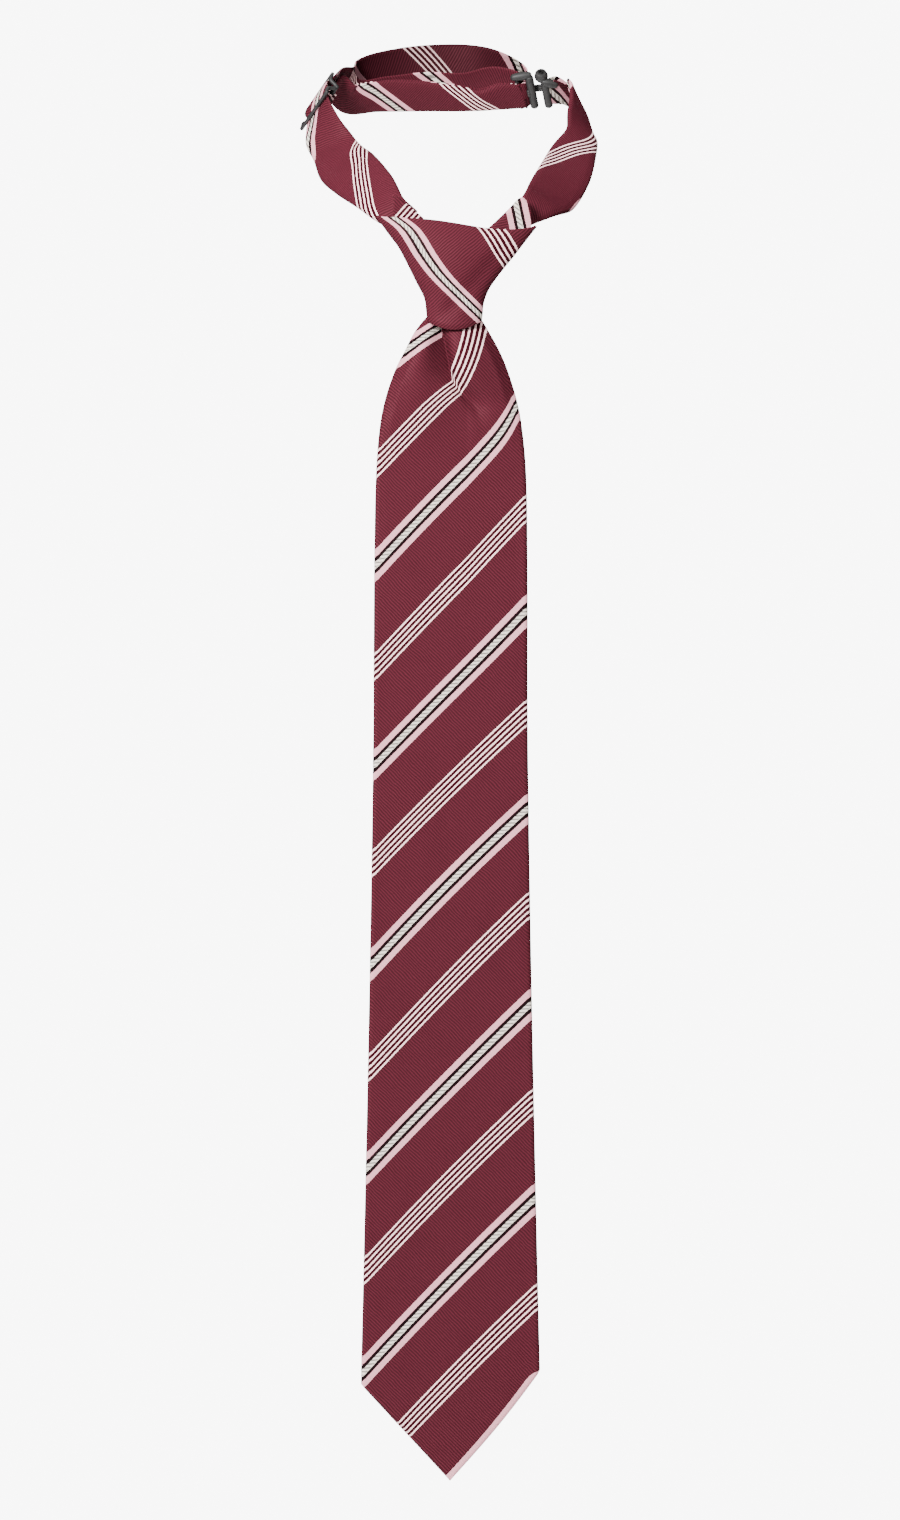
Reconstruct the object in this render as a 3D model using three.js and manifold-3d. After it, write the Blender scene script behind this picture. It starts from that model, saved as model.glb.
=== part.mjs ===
// A pre-tied necktie: a gathered knot, a pointed blade that hangs from it, and a neck loop of the
// same cloth with an adjusting slider on the left and a hook-and-eye clasp at the back right.
// Millimetres, +X to the wearer's left, +Y away from the chest, +Z up, origin at the loop's centre.
import * as THREE from 'three';
import Module from 'manifold-3d';

const wasm = await Module();
wasm.setup();

// ---------- driving sizes ----------
const CLOTH_GAP = 0.3;             // air left between two touching layers

const BLADE_TOP_Z = -84.4;         // where the blade leaves the knot's mouth
const BLADE_LEFT_CORNER_Z = -557;
const BLADE_RIGHT_CORNER_Z = -551;
const BLADE_TIP_Z = -598.5;
const BLADE_HALF_TOP = 16.5;       // half width in the knot's mouth
const BLADE_HALF_UPPER = 34.4;     // half width once the gathers have opened
const BLADE_HALF_LOWER = 40;       // half width at the corners
const BLADE_FLARE_LENGTH = 17;     // how fast the gathers open
const BLADE_TAPER_START_Z = -250;
const BLADE_FRONT_Y = -58.6;
const BLADE_BACK_Y = -55;
const BLADE_SHELL_THICKNESS = 0.7;
const LOBE_DEPTH = 5.2;            // the two gathered lobes stand this far forward of the dimple
const LOBE_FADE_LENGTH = 62;
const HEM_MARGIN = 11;             // turned hem seen round the tipping
const SEAM_END_Z = -468;           // bottom of the centre-back seam
const SEAM_START_Z = -150;

const KEEPER_Z = -330;
const KEEPER_HALF_SPAN = 27;
const KEEPER_HEIGHT = 14;
const KEEPER_STANDOFF = 5.2;
const KEEPER_THICKNESS = 0.8;

const SLIDER_POINT = new THREE.Vector3(-60.2, 29, 27.9);   // where the strap crosses the slider
const STRAP_RUN = new THREE.Vector3(0.177, 0.714, 0.677).normalize();   // strap direction there
const SLIDER_ROLL = new THREE.Vector3(0.459, -0.672, 0.581);            // width direction there
const STRAP_ARC_RADIUS = 55;       // the slider travels on this even curve
const ARC_START_DEG = -34;
const ARC_END_DEG = 18;
const STRAP_HALF_AT_SLIDER = 10.8;
const STRAP_HALF_THICKNESS = 0.5;
const SLIDER_LENGTH = 15.7;
const SLIDER_WIDTH = 26.7;
const SLIDER_WIRE = 1.3;

const EYE_BAR = new THREE.Vector3(38.1, 47, 34.8);         // the bar that the hook takes hold of
const CLASP_UP = new THREE.Vector3(-0.18, -0.56, 0.81).normalize();
const CLASP_WIRE = 1.9;
const EYE_REACH = 6;               // from the hooked bar to the strap bar
const EYE_HALF_HEIGHT = 7.8;
const HOOK_BAR_OFFSET = 6.6;       // from the eye's bar to the hook's own front bar
const HOOK_REACH = 5.5;
const HOOK_HALF_HEIGHT = 7.2;
const HOOK_DROP = -1.2;
const TONGUE_WIDTH = 4;

// ---------- materials ----------
const cloth = (colour) => new THREE.MeshStandardMaterial({ color: colour, roughness: 0.62, metalness: 0 });
const metal = (colour) => new THREE.MeshStandardMaterial({ color: colour, roughness: 0.38, metalness: 0.8 });
const BURGUNDY = 0x73303c;
const BURGUNDY_DARK = 0x5c2630;
const WOOL = 0xd8d2c6;
const LINING = 0x5a2029;
const THREAD = 0x6b2732;
const LABEL = 0xe9e4dc;
const GUNMETAL = 0x5c5a58;

const necktie = new THREE.Group();

function addMesh(name, geometry, material) {
  geometry.computeVertexNormals();
  const mesh = new THREE.Mesh(geometry, material);
  mesh.name = name;
  necktie.add(mesh);
  return mesh;
}

// ---------- building closed skins ----------
const lerp = THREE.MathUtils.lerp;
const smooth = (t) => THREE.MathUtils.smoothstep(t, 0, 1);
const vec = (x, y, z) => new THREE.Vector3(x, y, z);
const clamp01 = (t) => THREE.MathUtils.clamp(t, 0, 1);

// Fills a ring whose second half runs back beside its first half, rung by rung.
function ladderCap(size) {
  const triangles = [];
  for (let i = 0; i < size / 2 - 1; i += 1) {
    const other = size - 1 - i;
    triangles.push([i, i + 1, other - 1], [i, other - 1, other]);
  }
  return triangles;
}

function signedVolume(positions, triangles) {
  let volume = 0;
  const corner = (index) => vec(positions[3 * index], positions[3 * index + 1], positions[3 * index + 2]);
  for (const [a, b, c] of triangles) {
    volume += corner(a).dot(new THREE.Vector3().crossVectors(corner(b), corner(c)));
  }
  return volume;
}

function skinGeometry(points, triangles) {
  const positions = points.flatMap((point) => [point.x, point.y, point.z]);
  const outward = signedVolume(positions, triangles) > 0;
  const faces = triangles.map(([a, b, c]) => (outward ? [a, b, c] : [a, c, b]));
  const geometry = new THREE.BufferGeometry();
  geometry.setAttribute('position', new THREE.Float32BufferAttribute(positions, 3));
  geometry.setIndex(faces.flat());
  return geometry;
}

function wallTriangles(ringCount, ringSize, base, closeRings) {
  const triangles = [];
  const last = closeRings ? ringCount : ringCount - 1;
  for (let i = 0; i < last; i += 1) {
    for (let j = 0; j < ringSize; j += 1) {
      const k = (j + 1) % ringSize;
      const here = base + i * ringSize;
      const next = base + ((i + 1) % ringCount) * ringSize;
      triangles.push([here + j, here + k, next + k], [here + j, next + k, next + j]);
    }
  }
  return triangles;
}

// A solid swept through rings that all have the same even number of points, in ladder order.
function loft(rings) {
  const size = rings[0].length;
  const triangles = wallTriangles(rings.length, size, 0, false);
  const lastBase = (rings.length - 1) * size;
  for (const [a, b, c] of ladderCap(size)) {
    triangles.push([a, c, b], [lastBase + a, lastBase + b, lastBase + c]);
  }
  return skinGeometry(rings.flat(), triangles);
}

// A sleeve open at both ends: the outer rings one way, the inner rings back again.
function sleeve(outerRings, innerRings) {
  const rings = [...outerRings, ...innerRings.slice().reverse()];
  return skinGeometry(rings.flat(), wallTriangles(rings.length, rings[0].length, 0, true));
}

// ---------- booleans ----------
function toSolid(geometry) {
  const plain = geometry.index ? geometry.toNonIndexed() : geometry;
  const position = plain.getAttribute('position');
  const lookup = new Map();
  const vertices = [];
  const triangles = [];
  for (let i = 0; i < position.count; i += 1) {
    const point = [position.getX(i), position.getY(i), position.getZ(i)];
    const key = point.map((value) => value.toFixed(4)).join(' ');
    if (!lookup.has(key)) {
      lookup.set(key, lookup.size);
      vertices.push(...point);
    }
    triangles.push(lookup.get(key));
  }
  const kept = [];
  for (let i = 0; i < triangles.length; i += 3) {
    const [a, b, c] = triangles.slice(i, i + 3);
    if (a !== b && b !== c && a !== c) kept.push(a, b, c);
  }
  return new wasm.Manifold(new wasm.Mesh({
    numProp: 3,
    vertProperties: new Float32Array(vertices),
    triVerts: new Uint32Array(kept),
  }));
}

function joined(geometries) {
  let solid = toSolid(geometries[0]);
  for (const geometry of geometries.slice(1)) solid = solid.add(toSolid(geometry));
  const mesh = solid.getMesh();
  const geometry = new THREE.BufferGeometry();
  geometry.setAttribute('position', new THREE.Float32BufferAttribute(Array.from(mesh.vertProperties), 3));
  geometry.setIndex(Array.from(mesh.triVerts));
  return geometry;
}

// A frame whose local x, y and z are the three directions given.
function frameMatrix(x, y, z, origin) {
  return new THREE.Matrix4().makeBasis(x, y, z).setPosition(origin);
}

// Points on an arc; a whole circle leaves out its repeated last point.
function arcPoints(radius, from, to, count) {
  const whole = Math.abs(Math.abs(to - from) - 2 * Math.PI) < 1e-6;
  const steps = whole ? count : count - 1;
  return Array.from({ length: count }, (_, i) => {
    const angle = from + ((to - from) * i) / steps;
    return new THREE.Vector2(radius * Math.cos(angle), radius * Math.sin(angle));
  });
}

const flatPoints = (pairs) => pairs.map(([x, y]) => new THREE.Vector2(x, y));

// ---------- the blade ----------
function bladeHalfWidth(z) {
  const below = BLADE_TOP_Z - z;
  const gathered = (BLADE_HALF_UPPER - BLADE_HALF_TOP) * Math.exp(-below / BLADE_FLARE_LENGTH);
  const taper = clamp01((BLADE_TAPER_START_Z - z) / (BLADE_TAPER_START_Z - BLADE_RIGHT_CORNER_Z));
  return BLADE_HALF_UPPER - gathered + (BLADE_HALF_LOWER - BLADE_HALF_UPPER) * taper ** 1.3;
}

// Left or right edge of the blade; below a corner the edge runs straight to the tip.
function bladeEdge(z, side) {
  const corner = side < 0 ? BLADE_LEFT_CORNER_Z : BLADE_RIGHT_CORNER_Z;
  const toTip = clamp01((z - BLADE_TIP_Z) / (corner - BLADE_TIP_Z));
  return side * bladeHalfWidth(Math.max(z, corner)) * toTip;
}

// How far the cloth stands forward of the flat blade at a fraction u of the half width.
function bladeRelief(u, z) {
  const fade = 1 - smooth((BLADE_TOP_Z - z) / LOBE_FADE_LENGTH);
  return LOBE_DEPTH * fade * Math.sin(Math.PI * Math.min(Math.abs(u), 1)) ** 2;
}

const BLADE_STATIONS = [-1, -0.75, -0.5, -0.25, -0.1, 0, 0.1, 0.25, 0.5, 0.75, 1];

function bladeFront(z, inset, back) {
  const left = bladeEdge(z, -1) + inset;
  const right = bladeEdge(z, 1) - inset;
  return BLADE_STATIONS.map((u) => {
    const x = lerp(left, right, (u + 1) / 2);
    return vec(x, BLADE_FRONT_Y - bladeRelief(u, z) + back, z);
  });
}

function hemGap(z) {
  const halfWidth = Math.min(-bladeEdge(z, -1), bladeEdge(z, 1));
  const open = clamp01((SEAM_END_Z - z) / 60);
  return Math.max(0.4, open * (halfWidth - HEM_MARGIN));
}

// Front cloth, both folded edges and the two back flaps, as one C-shaped ring.
function bladeShellRing(z) {
  const t = BLADE_SHELL_THICKNESS;
  const gap = hemGap(z);
  const left = bladeEdge(z, -1);
  const right = bladeEdge(z, 1);
  const inner = bladeFront(z, t, t).reverse();
  return [
    vec(-gap, BLADE_BACK_Y, z), vec(left, BLADE_BACK_Y, z), ...bladeFront(z, 0, 0),
    vec(right, BLADE_BACK_Y, z), vec(gap, BLADE_BACK_Y, z), vec(gap, BLADE_BACK_Y - t, z),
    vec(right - t, BLADE_BACK_Y - t, z), ...inner,
    vec(left + t, BLADE_BACK_Y - t, z), vec(-gap, BLADE_BACK_Y - t, z),
  ];
}

function bladeLevels(bottom) {
  const levels = [];
  for (let z = BLADE_TOP_Z; z > -160; z -= 6) levels.push(z);
  for (let z = -170; z > SEAM_END_Z; z -= 50) levels.push(z);
  levels.push(SEAM_END_Z, SEAM_END_Z - 30, BLADE_RIGHT_CORNER_Z, BLADE_LEFT_CORNER_Z);
  levels.push(BLADE_LEFT_CORNER_Z - 12, BLADE_LEFT_CORNER_Z - 24, BLADE_TIP_Z + 8);
  return [...levels.filter((z) => z > bottom + 0.5), bottom];
}

function buildBlade() {
  addMesh('blade_shell', loft(bladeLevels(BLADE_TIP_Z + 3).map(bladeShellRing)), cloth(BURGUNDY));

  const inset = BLADE_SHELL_THICKNESS + CLOTH_GAP;
  const backY = BLADE_BACK_Y - BLADE_SHELL_THICKNESS - CLOTH_GAP;
  const liningLevels = [BLADE_TOP_Z - 0.6, ...bladeLevels(BLADE_TIP_Z + 10).slice(1)];
  const slack = (z) => 0.5 * (1 - smooth((BLADE_TOP_Z - z) / 30));
  const liningRings = liningLevels.map((z) => {
    const front = bladeFront(z, inset, inset + slack(z));
    const back = front.map((point) => vec(point.x, backY, z)).reverse();
    return [...front, ...back];
  });
  addMesh('blade_interlining', loft(liningRings), cloth(WOOL));
}

// The lining triangle that closes the back of the tip; it lies on the hem.
function buildTipping() {
  const margin = 5.5;
  const top = SEAM_END_Z + 14;
  const drop = (HEM_MARGIN - 3) * 1.25;
  const outline = new THREE.Shape();
  outline.moveTo(0, top);
  outline.lineTo(bladeEdge(BLADE_RIGHT_CORNER_Z, 1) - margin, BLADE_RIGHT_CORNER_Z + 18);
  outline.lineTo(bladeEdge(BLADE_RIGHT_CORNER_Z, 1) - margin, BLADE_RIGHT_CORNER_Z - 1);
  outline.lineTo(0, BLADE_TIP_Z + drop);
  outline.lineTo(bladeEdge(BLADE_LEFT_CORNER_Z, -1) + margin, BLADE_LEFT_CORNER_Z - 1);
  outline.lineTo(bladeEdge(BLADE_LEFT_CORNER_Z, -1) + margin, BLADE_LEFT_CORNER_Z + 18);
  const geometry = new THREE.ExtrudeGeometry(outline, { depth: 0.5, bevelEnabled: false });
  const place = frameMatrix(vec(1, 0, 0), vec(0, 0, 1), vec(0, -1, 0), vec(0, BLADE_BACK_Y + CLOTH_GAP + 0.5, 0));
  geometry.applyMatrix4(place);
  addMesh('blade_tipping', geometry, cloth(LINING));
}

// One thread that zigzags across the centre-back seam from end to end.
function buildSlipStitch() {
  const rings = [];
  const pitch = 6;
  const count = Math.floor((SEAM_START_Z - SEAM_END_Z - 22) / pitch);
  for (let i = 0; i <= count; i += 1) {
    const z = SEAM_START_Z - 2 - i * pitch;
    const x = i % 2 === 0 ? 1.1 : -1.1;
    const y = BLADE_BACK_Y + CLOTH_GAP;
    rings.push([vec(x - 0.3, y, z), vec(x + 0.3, y, z), vec(x + 0.3, y + 0.5, z), vec(x - 0.3, y + 0.5, z)]);
  }
  addMesh('blade_slip_stitch', loft(rings), cloth(THREAD));
}

function buildBar(name, centre, size, material) {
  const geometry = new THREE.BoxGeometry(size.x, size.y, size.z);
  geometry.translate(centre.x, centre.y, centre.z);
  addMesh(name, geometry, material);
}

// A flat strap across the back that would hold the tail; its ends are sewn down.
function buildKeeper() {
  const inner = KEEPER_STANDOFF;
  const outer = KEEPER_STANDOFF + KEEPER_THICKNESS;
  const half = KEEPER_HALF_SPAN;
  const foot = 7;
  const profile = new THREE.Shape();
  profile.moveTo(-half, 0);
  profile.lineTo(-half + foot, 0);
  profile.lineTo(-half + foot + 3, inner);
  profile.lineTo(half - foot - 3, inner);
  profile.lineTo(half - foot, 0);
  profile.lineTo(half, 0);
  profile.lineTo(half, KEEPER_THICKNESS);
  profile.lineTo(half - foot + 0.5, KEEPER_THICKNESS);
  profile.lineTo(half - foot - 2.6, outer);
  profile.lineTo(-half + foot + 2.6, outer);
  profile.lineTo(-half + foot - 0.5, KEEPER_THICKNESS);
  profile.lineTo(-half, KEEPER_THICKNESS);
  const geometry = new THREE.ExtrudeGeometry(profile, { depth: KEEPER_HEIGHT, bevelEnabled: false });
  geometry.translate(0, BLADE_BACK_Y + CLOTH_GAP, KEEPER_Z - KEEPER_HEIGHT / 2);
  addMesh('keeper_loop', geometry, cloth(BURGUNDY));
  for (const [side, word] of [[-1, 'left'], [1, 'right']]) {
    const centre = vec(side * (half - 3), BLADE_BACK_Y + 2 * CLOTH_GAP + KEEPER_THICKNESS + 0.3, KEEPER_Z);
    buildBar(`keeper_tack_${word}`, centre, vec(0.9, 0.6, KEEPER_HEIGHT - 2), cloth(THREAD));
  }
}

function buildBackDetails() {
  const outside = BLADE_BACK_Y + CLOTH_GAP + 0.4;
  buildBar('blade_bar_tack', vec(0, outside, SEAM_END_Z + 19), vec(7, 0.8, 1.2), cloth(THREAD));
  buildBar('seam_top_tack', vec(0, outside, SEAM_START_Z + 3), vec(7, 0.8, 1.2), cloth(THREAD));
  buildBar('care_label', vec(16, BLADE_BACK_Y + CLOTH_GAP + 0.25, -366), vec(20, 0.5, 30), cloth(LABEL));
}

// ---------- the knot ----------
const KNOT_LEFT = [[-10.3, -79], [-11.2, -71], [-15.3, -61.4], [-20.4, -51.5], [-27.3, -39.9], [-32.6, -32]];
const KNOT_RIGHT = [[14.2, -79], [15.1, -71], [21.5, -59.6], [27.5, -52], [33, -45], [38.4, -36.6]];
const KNOT_FRONT_DEPTH = [5.6, 6.2, 7.4, 8, 7.6, 6];
const KNOT_BACK_DEPTH = [7, 6.6, 6, 5.2, 4, 3];
const KNOT_AXIS_Y = -60.4;
const KNOT_MOUTH_SAG = 4.3;        // how far the mouth's lip droops below its corners
const KNOT_TOP_SAG = 1.4;
const KNOT_WALL = 1.5;
const RING_POINTS = 24;

// One level of the knot: a lens between its left and right edges.
function knotRing(level, inset) {
  const [leftX, leftZ] = KNOT_LEFT[level];
  const [rightX, rightZ] = KNOT_RIGHT[level];
  const mouthSag = KNOT_MOUTH_SAG * (1 - level / 5) ** 3;
  const topSag = KNOT_TOP_SAG * (level / 5) ** 3;
  const ring = [];
  for (let i = 0; i < RING_POINTS; i += 1) {
    const angle = (2 * Math.PI * i) / RING_POINTS;
    const across = -Math.cos(angle);
    const halfSpan = (rightX - leftX) / 2 - inset * 1.6;
    const x = (leftX + rightX) / 2 + across * halfSpan;
    const z = lerp(leftZ, rightZ, (across + 1) / 2);
    const depth = Math.sin(angle) > 0 ? -(KNOT_FRONT_DEPTH[level] - inset) : KNOT_BACK_DEPTH[level] - inset;
    const y = KNOT_AXIS_Y + depth * Math.abs(Math.sin(angle));
    ring.push(vec(x, y, z - (mouthSag + topSag) * (1 - across ** 2)));
  }
  return ring;
}

function buildKnot() {
  const levels = [0, 1, 2, 3, 4, 5];
  const wrap = sleeve(levels.map((level) => knotRing(level, 0)), levels.map((level) => knotRing(level, KNOT_WALL)));
  addMesh('knot_wrap', wrap, cloth(BURGUNDY));

  // The blade's gathered neck fills the sleeve.
  const neckRings = [0, 1, 2, 3, 4].map((level) => {
    const ring = knotRing(level, KNOT_WALL + CLOTH_GAP + 0.2);
    return ring.map((point) => vec(point.x * 0.86, point.y, point.z));
  });
  addMesh('blade_neck', loft(neckRings), cloth(BURGUNDY_DARK));

  const tuck = (name, corners) => {
    const outline = new THREE.Shape(corners.map(([x, z]) => new THREE.Vector2(x, z)));
    const geometry = new THREE.ExtrudeGeometry(outline, { depth: 2.2, bevelEnabled: false });
    geometry.applyMatrix4(frameMatrix(vec(1, 0, 0), vec(0, 0, 1), vec(0, -1, 0), vec(0, -54.2, 0)));
    addMesh(name, geometry, cloth(BURGUNDY));
  };
  tuck('knot_tuck_left', [[-24.3, -22.8], [-17.5, -27.5], [-12.6, -31.2], [-24.3, -31.2]]);
  tuck('knot_tuck_right', [[19, -35.4], [24.4, -30], [32.6, -23.7], [36.7, -28], [37, -34.6]]);
  buildBar('knot_back_tack', vec(4.5, -53.6, -62), vec(9, 1, 2.2), cloth(THREAD));
}

// ---------- the neck loop ----------
const SLIDER_ACROSS = SLIDER_ROLL.clone().addScaledVector(STRAP_RUN, -SLIDER_ROLL.dot(STRAP_RUN)).normalize();
const SLIDER_INWARD = new THREE.Vector3().crossVectors(STRAP_RUN, SLIDER_ACROSS).normalize();
const ARC_CENTRE = SLIDER_POINT.clone().addScaledVector(SLIDER_INWARD, STRAP_ARC_RADIUS);
const CLASP_ALONG = vec(1, 0, 0).addScaledVector(CLASP_UP, -CLASP_UP.x).normalize();
const CLASP_OUT = new THREE.Vector3().crossVectors(CLASP_UP, CLASP_ALONG).normalize();
const EYE_STRAP_BAR = EYE_BAR.clone().addScaledVector(CLASP_ALONG, -EYE_REACH);
const HOOK_FRONT_BAR = EYE_BAR.clone().addScaledVector(CLASP_ALONG, HOOK_BAR_OFFSET).addScaledVector(CLASP_UP, HOOK_DROP);
const HOOK_STRAP_BAR = HOOK_FRONT_BAR.clone().addScaledVector(CLASP_ALONG, HOOK_REACH);

// A point on the slider's arc, offset outward from the strap's middle.
function arcPoint(degrees, outward) {
  const angle = THREE.MathUtils.degToRad(degrees);
  const radius = STRAP_ARC_RADIUS + outward;
  return ARC_CENTRE.clone()
    .addScaledVector(SLIDER_INWARD, -radius * Math.cos(angle))
    .addScaledVector(STRAP_RUN, radius * Math.sin(angle));
}

// Folded strap section: two walls that meet in a fold, pressed flat or opened into a gutter.
function strapRing(station, tangent) {
  const across = station.across.clone().addScaledVector(tangent, -station.across.dot(tangent)).normalize();
  const out = new THREE.Vector3().crossVectors(across, tangent).normalize().multiplyScalar(station.flip);
  const at = (along, outward) => station.centre.clone().addScaledVector(across, along).addScaledVector(out, outward);
  const { half, thick, open } = station;
  const backTop = half + open * station.backRise;
  const frontTop = half - open * station.frontDrop;
  const backSpread = thick + open * station.backSpread;
  const frontSpread = thick + open * station.frontSpread;
  const wall = lerp(thick - 0.05, 1.5, open);
  const notch = lerp(half - 0.4, -half + 3, open);
  return [
    at(backTop, backSpread), at(-half, thick * 0.8), at(-half, -thick * 0.8), at(frontTop, -frontSpread),
    at(frontTop, -frontSpread + wall), at(notch, -0.05), at(notch, 0.05), at(backTop, backSpread - wall),
  ];
}

// Eases between hand-set stations and gives each ring its own direction.
function strapRings(stations, steps) {
  const curve = new THREE.CatmullRomCurve3(stations.map((station) => station.centre), false, 'centripetal');
  const rings = [];
  const last = stations.length - 1;
  for (let i = 0; i < last; i += 1) {
    const count = stations[i].fixed && stations[i + 1].fixed ? 1 : steps;
    for (let k = 0; k < count; k += 1) rings.push(i + k / count);
  }
  rings.push(last);
  return rings.map((place) => {
    const i = Math.min(Math.floor(place), last - 1);
    const t = place - i;
    const a = stations[i];
    const b = stations[i + 1];
    const mixed = { flip: a.flip, across: a.across.clone().lerp(b.across, t) };
    for (const key of ['half', 'thick', 'open', 'backRise', 'frontDrop', 'backSpread', 'frontSpread']) {
      mixed[key] = lerp(a[key], b[key], t);
    }
    mixed.centre = t === 0 ? a.centre : curve.getPoint(place / last);
    if (t === 1) mixed.centre = b.centre;
    const fixedTangent = t === 0 ? a.tangent : (t === 1 ? b.tangent : null);
    return strapRing(mixed, fixedTangent || curve.getTangent(place / last));
  });
}

function station(centre, across, half, options = {}) {
  return {
    centre, across, half, flip: 1, thick: 1.2, open: 0, backRise: 0, frontDrop: 0,
    backSpread: 0, frontSpread: 0, tangent: null, fixed: false, ...options,
  };
}

const LOOP_UP = vec(0, -0.574, 0.819);

function leftStations() {
  const list = [
    station(vec(-24, -49.6, -44), vec(0.95, -0.1, 0.3), 6, { thick: 1.4 }),
    station(vec(-28.2, -48.6, -31), vec(0.9, -0.2, 0.38), 7.5),
    station(vec(-35.2, -37.5, -21.6), vec(0.84, -0.35, 0.42), 10.4),
    station(vec(-45.5, -19, -13), vec(0.78, -0.45, 0.43), 12.6),
    station(vec(-52.4, -3, -8), vec(0.64, -0.58, 0.5), 12),
  ];
  for (let degrees = ARC_START_DEG; degrees <= ARC_END_DEG; degrees += 6.5) {
    const angle = THREE.MathUtils.degToRad(degrees);
    const tangent = STRAP_RUN.clone().multiplyScalar(Math.cos(angle)).addScaledVector(SLIDER_INWARD, Math.sin(angle));
    list.push(station(arcPoint(degrees, 0), SLIDER_ACROSS, STRAP_HALF_AT_SLIDER, {
      thick: STRAP_HALF_THICKNESS, tangent, fixed: true,
    }));
  }
  return list;
}

function outerRunStations() {
  const gutter = { open: 1, backRise: 2.5, frontDrop: 9.5, backSpread: 5, frontSpread: 6, thick: 0.9 };
  const half = { ...gutter, open: 0.5 };
  return [
    station(vec(-46, 53.6, 43.8), vec(0.25, -0.5, 0.83), 10.6, { ...gutter, open: 0.45, thick: 0.7 }),
    station(vec(-31, 60.5, 46.6), vec(0.1, -0.3, 0.95), 10.8, { ...gutter, open: 0.9 }),
    station(vec(-12, 63.4, 47), vec(0, -0.16, 0.98), 10.8, gutter),
    station(vec(8, 62.6, 46), vec(0, -0.2, 0.97), 10.6, gutter),
    station(vec(20, 58.6, 42.6), vec(-0.06, -0.36, 0.93), 9.4, { ...half, frontDrop: 5 }),
  ];
}

// The strap turns back on itself round the eye's strap bar.
function turnStations() {
  const list = [];
  const radius = CLASP_WIRE / 2 + CLOTH_GAP + 0.7;
  for (let degrees = 90; degrees >= -90; degrees -= 30) {
    const angle = THREE.MathUtils.degToRad(degrees);
    const centre = EYE_STRAP_BAR.clone()
      .addScaledVector(CLASP_ALONG, radius * Math.cos(angle))
      .addScaledVector(CLASP_OUT, radius * Math.sin(angle));
    const tangent = CLASP_ALONG.clone().multiplyScalar(Math.sin(angle)).addScaledVector(CLASP_OUT, -Math.cos(angle));
    list.push(station(centre, CLASP_UP, 6.1, { thick: 0.7, tangent, fixed: true }));
  }
  return list;
}

function innerRunStations() {
  return [
    station(vec(14, 47.6, 33.2), LOOP_UP, 7.4),
    station(vec(-10, 48, 32.6), LOOP_UP, 7.6),
    station(vec(-32, 47.4, 32.4), vec(0.05, -0.574, 0.819), 7.6),
    station(vec(-45, 44.8, 33), vec(0.2, -0.6, 0.78), 7.4),
    station(arcPoint(17.4, -2.4), SLIDER_ACROSS, 7.8, { thick: 0.6 }),
  ];
}

function buildNeckStrap() {
  const stations = [...leftStations(), ...outerRunStations(), ...turnStations(), ...innerRunStations()];
  addMesh('neck_strap', loft(strapRings(stations, 3)), cloth(BURGUNDY));
}

// The strap's end, folded round the slider's centre bar and sewn to itself.
const TAB_BAR_DEPTH = -2.3;
function buildStrapEnd() {
  const reach = 8;
  const rollRadius = SLIDER_WIRE / 2 + 0.25 + 0.55;
  const mergeAngle = 0.42;
  const drop = (distance) => (distance * distance) / (2 * STRAP_ARC_RADIUS);
  const outline = new THREE.Shape([
    ...arcPoints(rollRadius, mergeAngle, 2 * Math.PI - mergeAngle, 16),
    ...flatPoints([3.5, 6, reach].map((distance) => [distance, -0.55 - drop(distance)])),
    ...flatPoints([reach, 6, 3.5].map((distance) => [distance, 0.55 - drop(distance)])),
  ]);
  outline.holes.push(new THREE.Path(arcPoints(SLIDER_WIRE / 2 + 0.25, 0, 2 * Math.PI, 14)));
  const width = 17;
  const geometry = new THREE.ExtrudeGeometry(outline, { depth: width, bevelEnabled: false });
  geometry.translate(0, 0, -width / 2);
  const outward = SLIDER_INWARD.clone().negate();
  const axis = new THREE.Vector3().crossVectors(STRAP_RUN, outward);
  geometry.applyMatrix4(frameMatrix(STRAP_RUN, outward, axis, arcPoint(0, TAB_BAR_DEPTH)));
  addMesh('strap_end_tab', geometry, cloth(BURGUNDY));

  const seam = new THREE.BoxGeometry(0.6, 0.5, width - 3);
  seam.applyMatrix4(frameMatrix(STRAP_RUN, outward, axis, arcPoint(6.2, TAB_BAR_DEPTH - 1.15)));
  addMesh('strap_end_seam', seam, cloth(THREAD));
}

function buildRightBand() {
  const stations = [
    station(vec(27, -49.6, -45), vec(0.95, 0.1, -0.25), 6, { thick: 1.4 }),
    station(vec(39.2, -45.6, -30), vec(0.9, 0.25, -0.2), 8.4),
    station(vec(46, -31, -20), vec(0.82, 0.35, -0.3), 11.6),
    station(vec(52.4, -13, -9.6), vec(0.85, 0.35, -0.2), 12.2),
    station(vec(57.6, 4, 0.6), vec(0.8, 0.42, -0.3), 10.8),
    station(vec(60, 17.5, 10.4), vec(0.62, 0.5, -0.5), 9.4),
    station(vec(60.2, 27.4, 18.4), vec(0.35, 0.55, -0.72), 8.4),
    station(vec(60.6, 34.6, 26), vec(0.16, 0.56, -0.8), 7.6),
    station(vec(59.2, 40.4, 33.6), vec(0.14, 0.56, -0.82), 6.6, { thick: 0.8 }),
  ];
  addMesh('right_band', loft(strapRings(stations, 2)), cloth(BURGUNDY));
}

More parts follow.
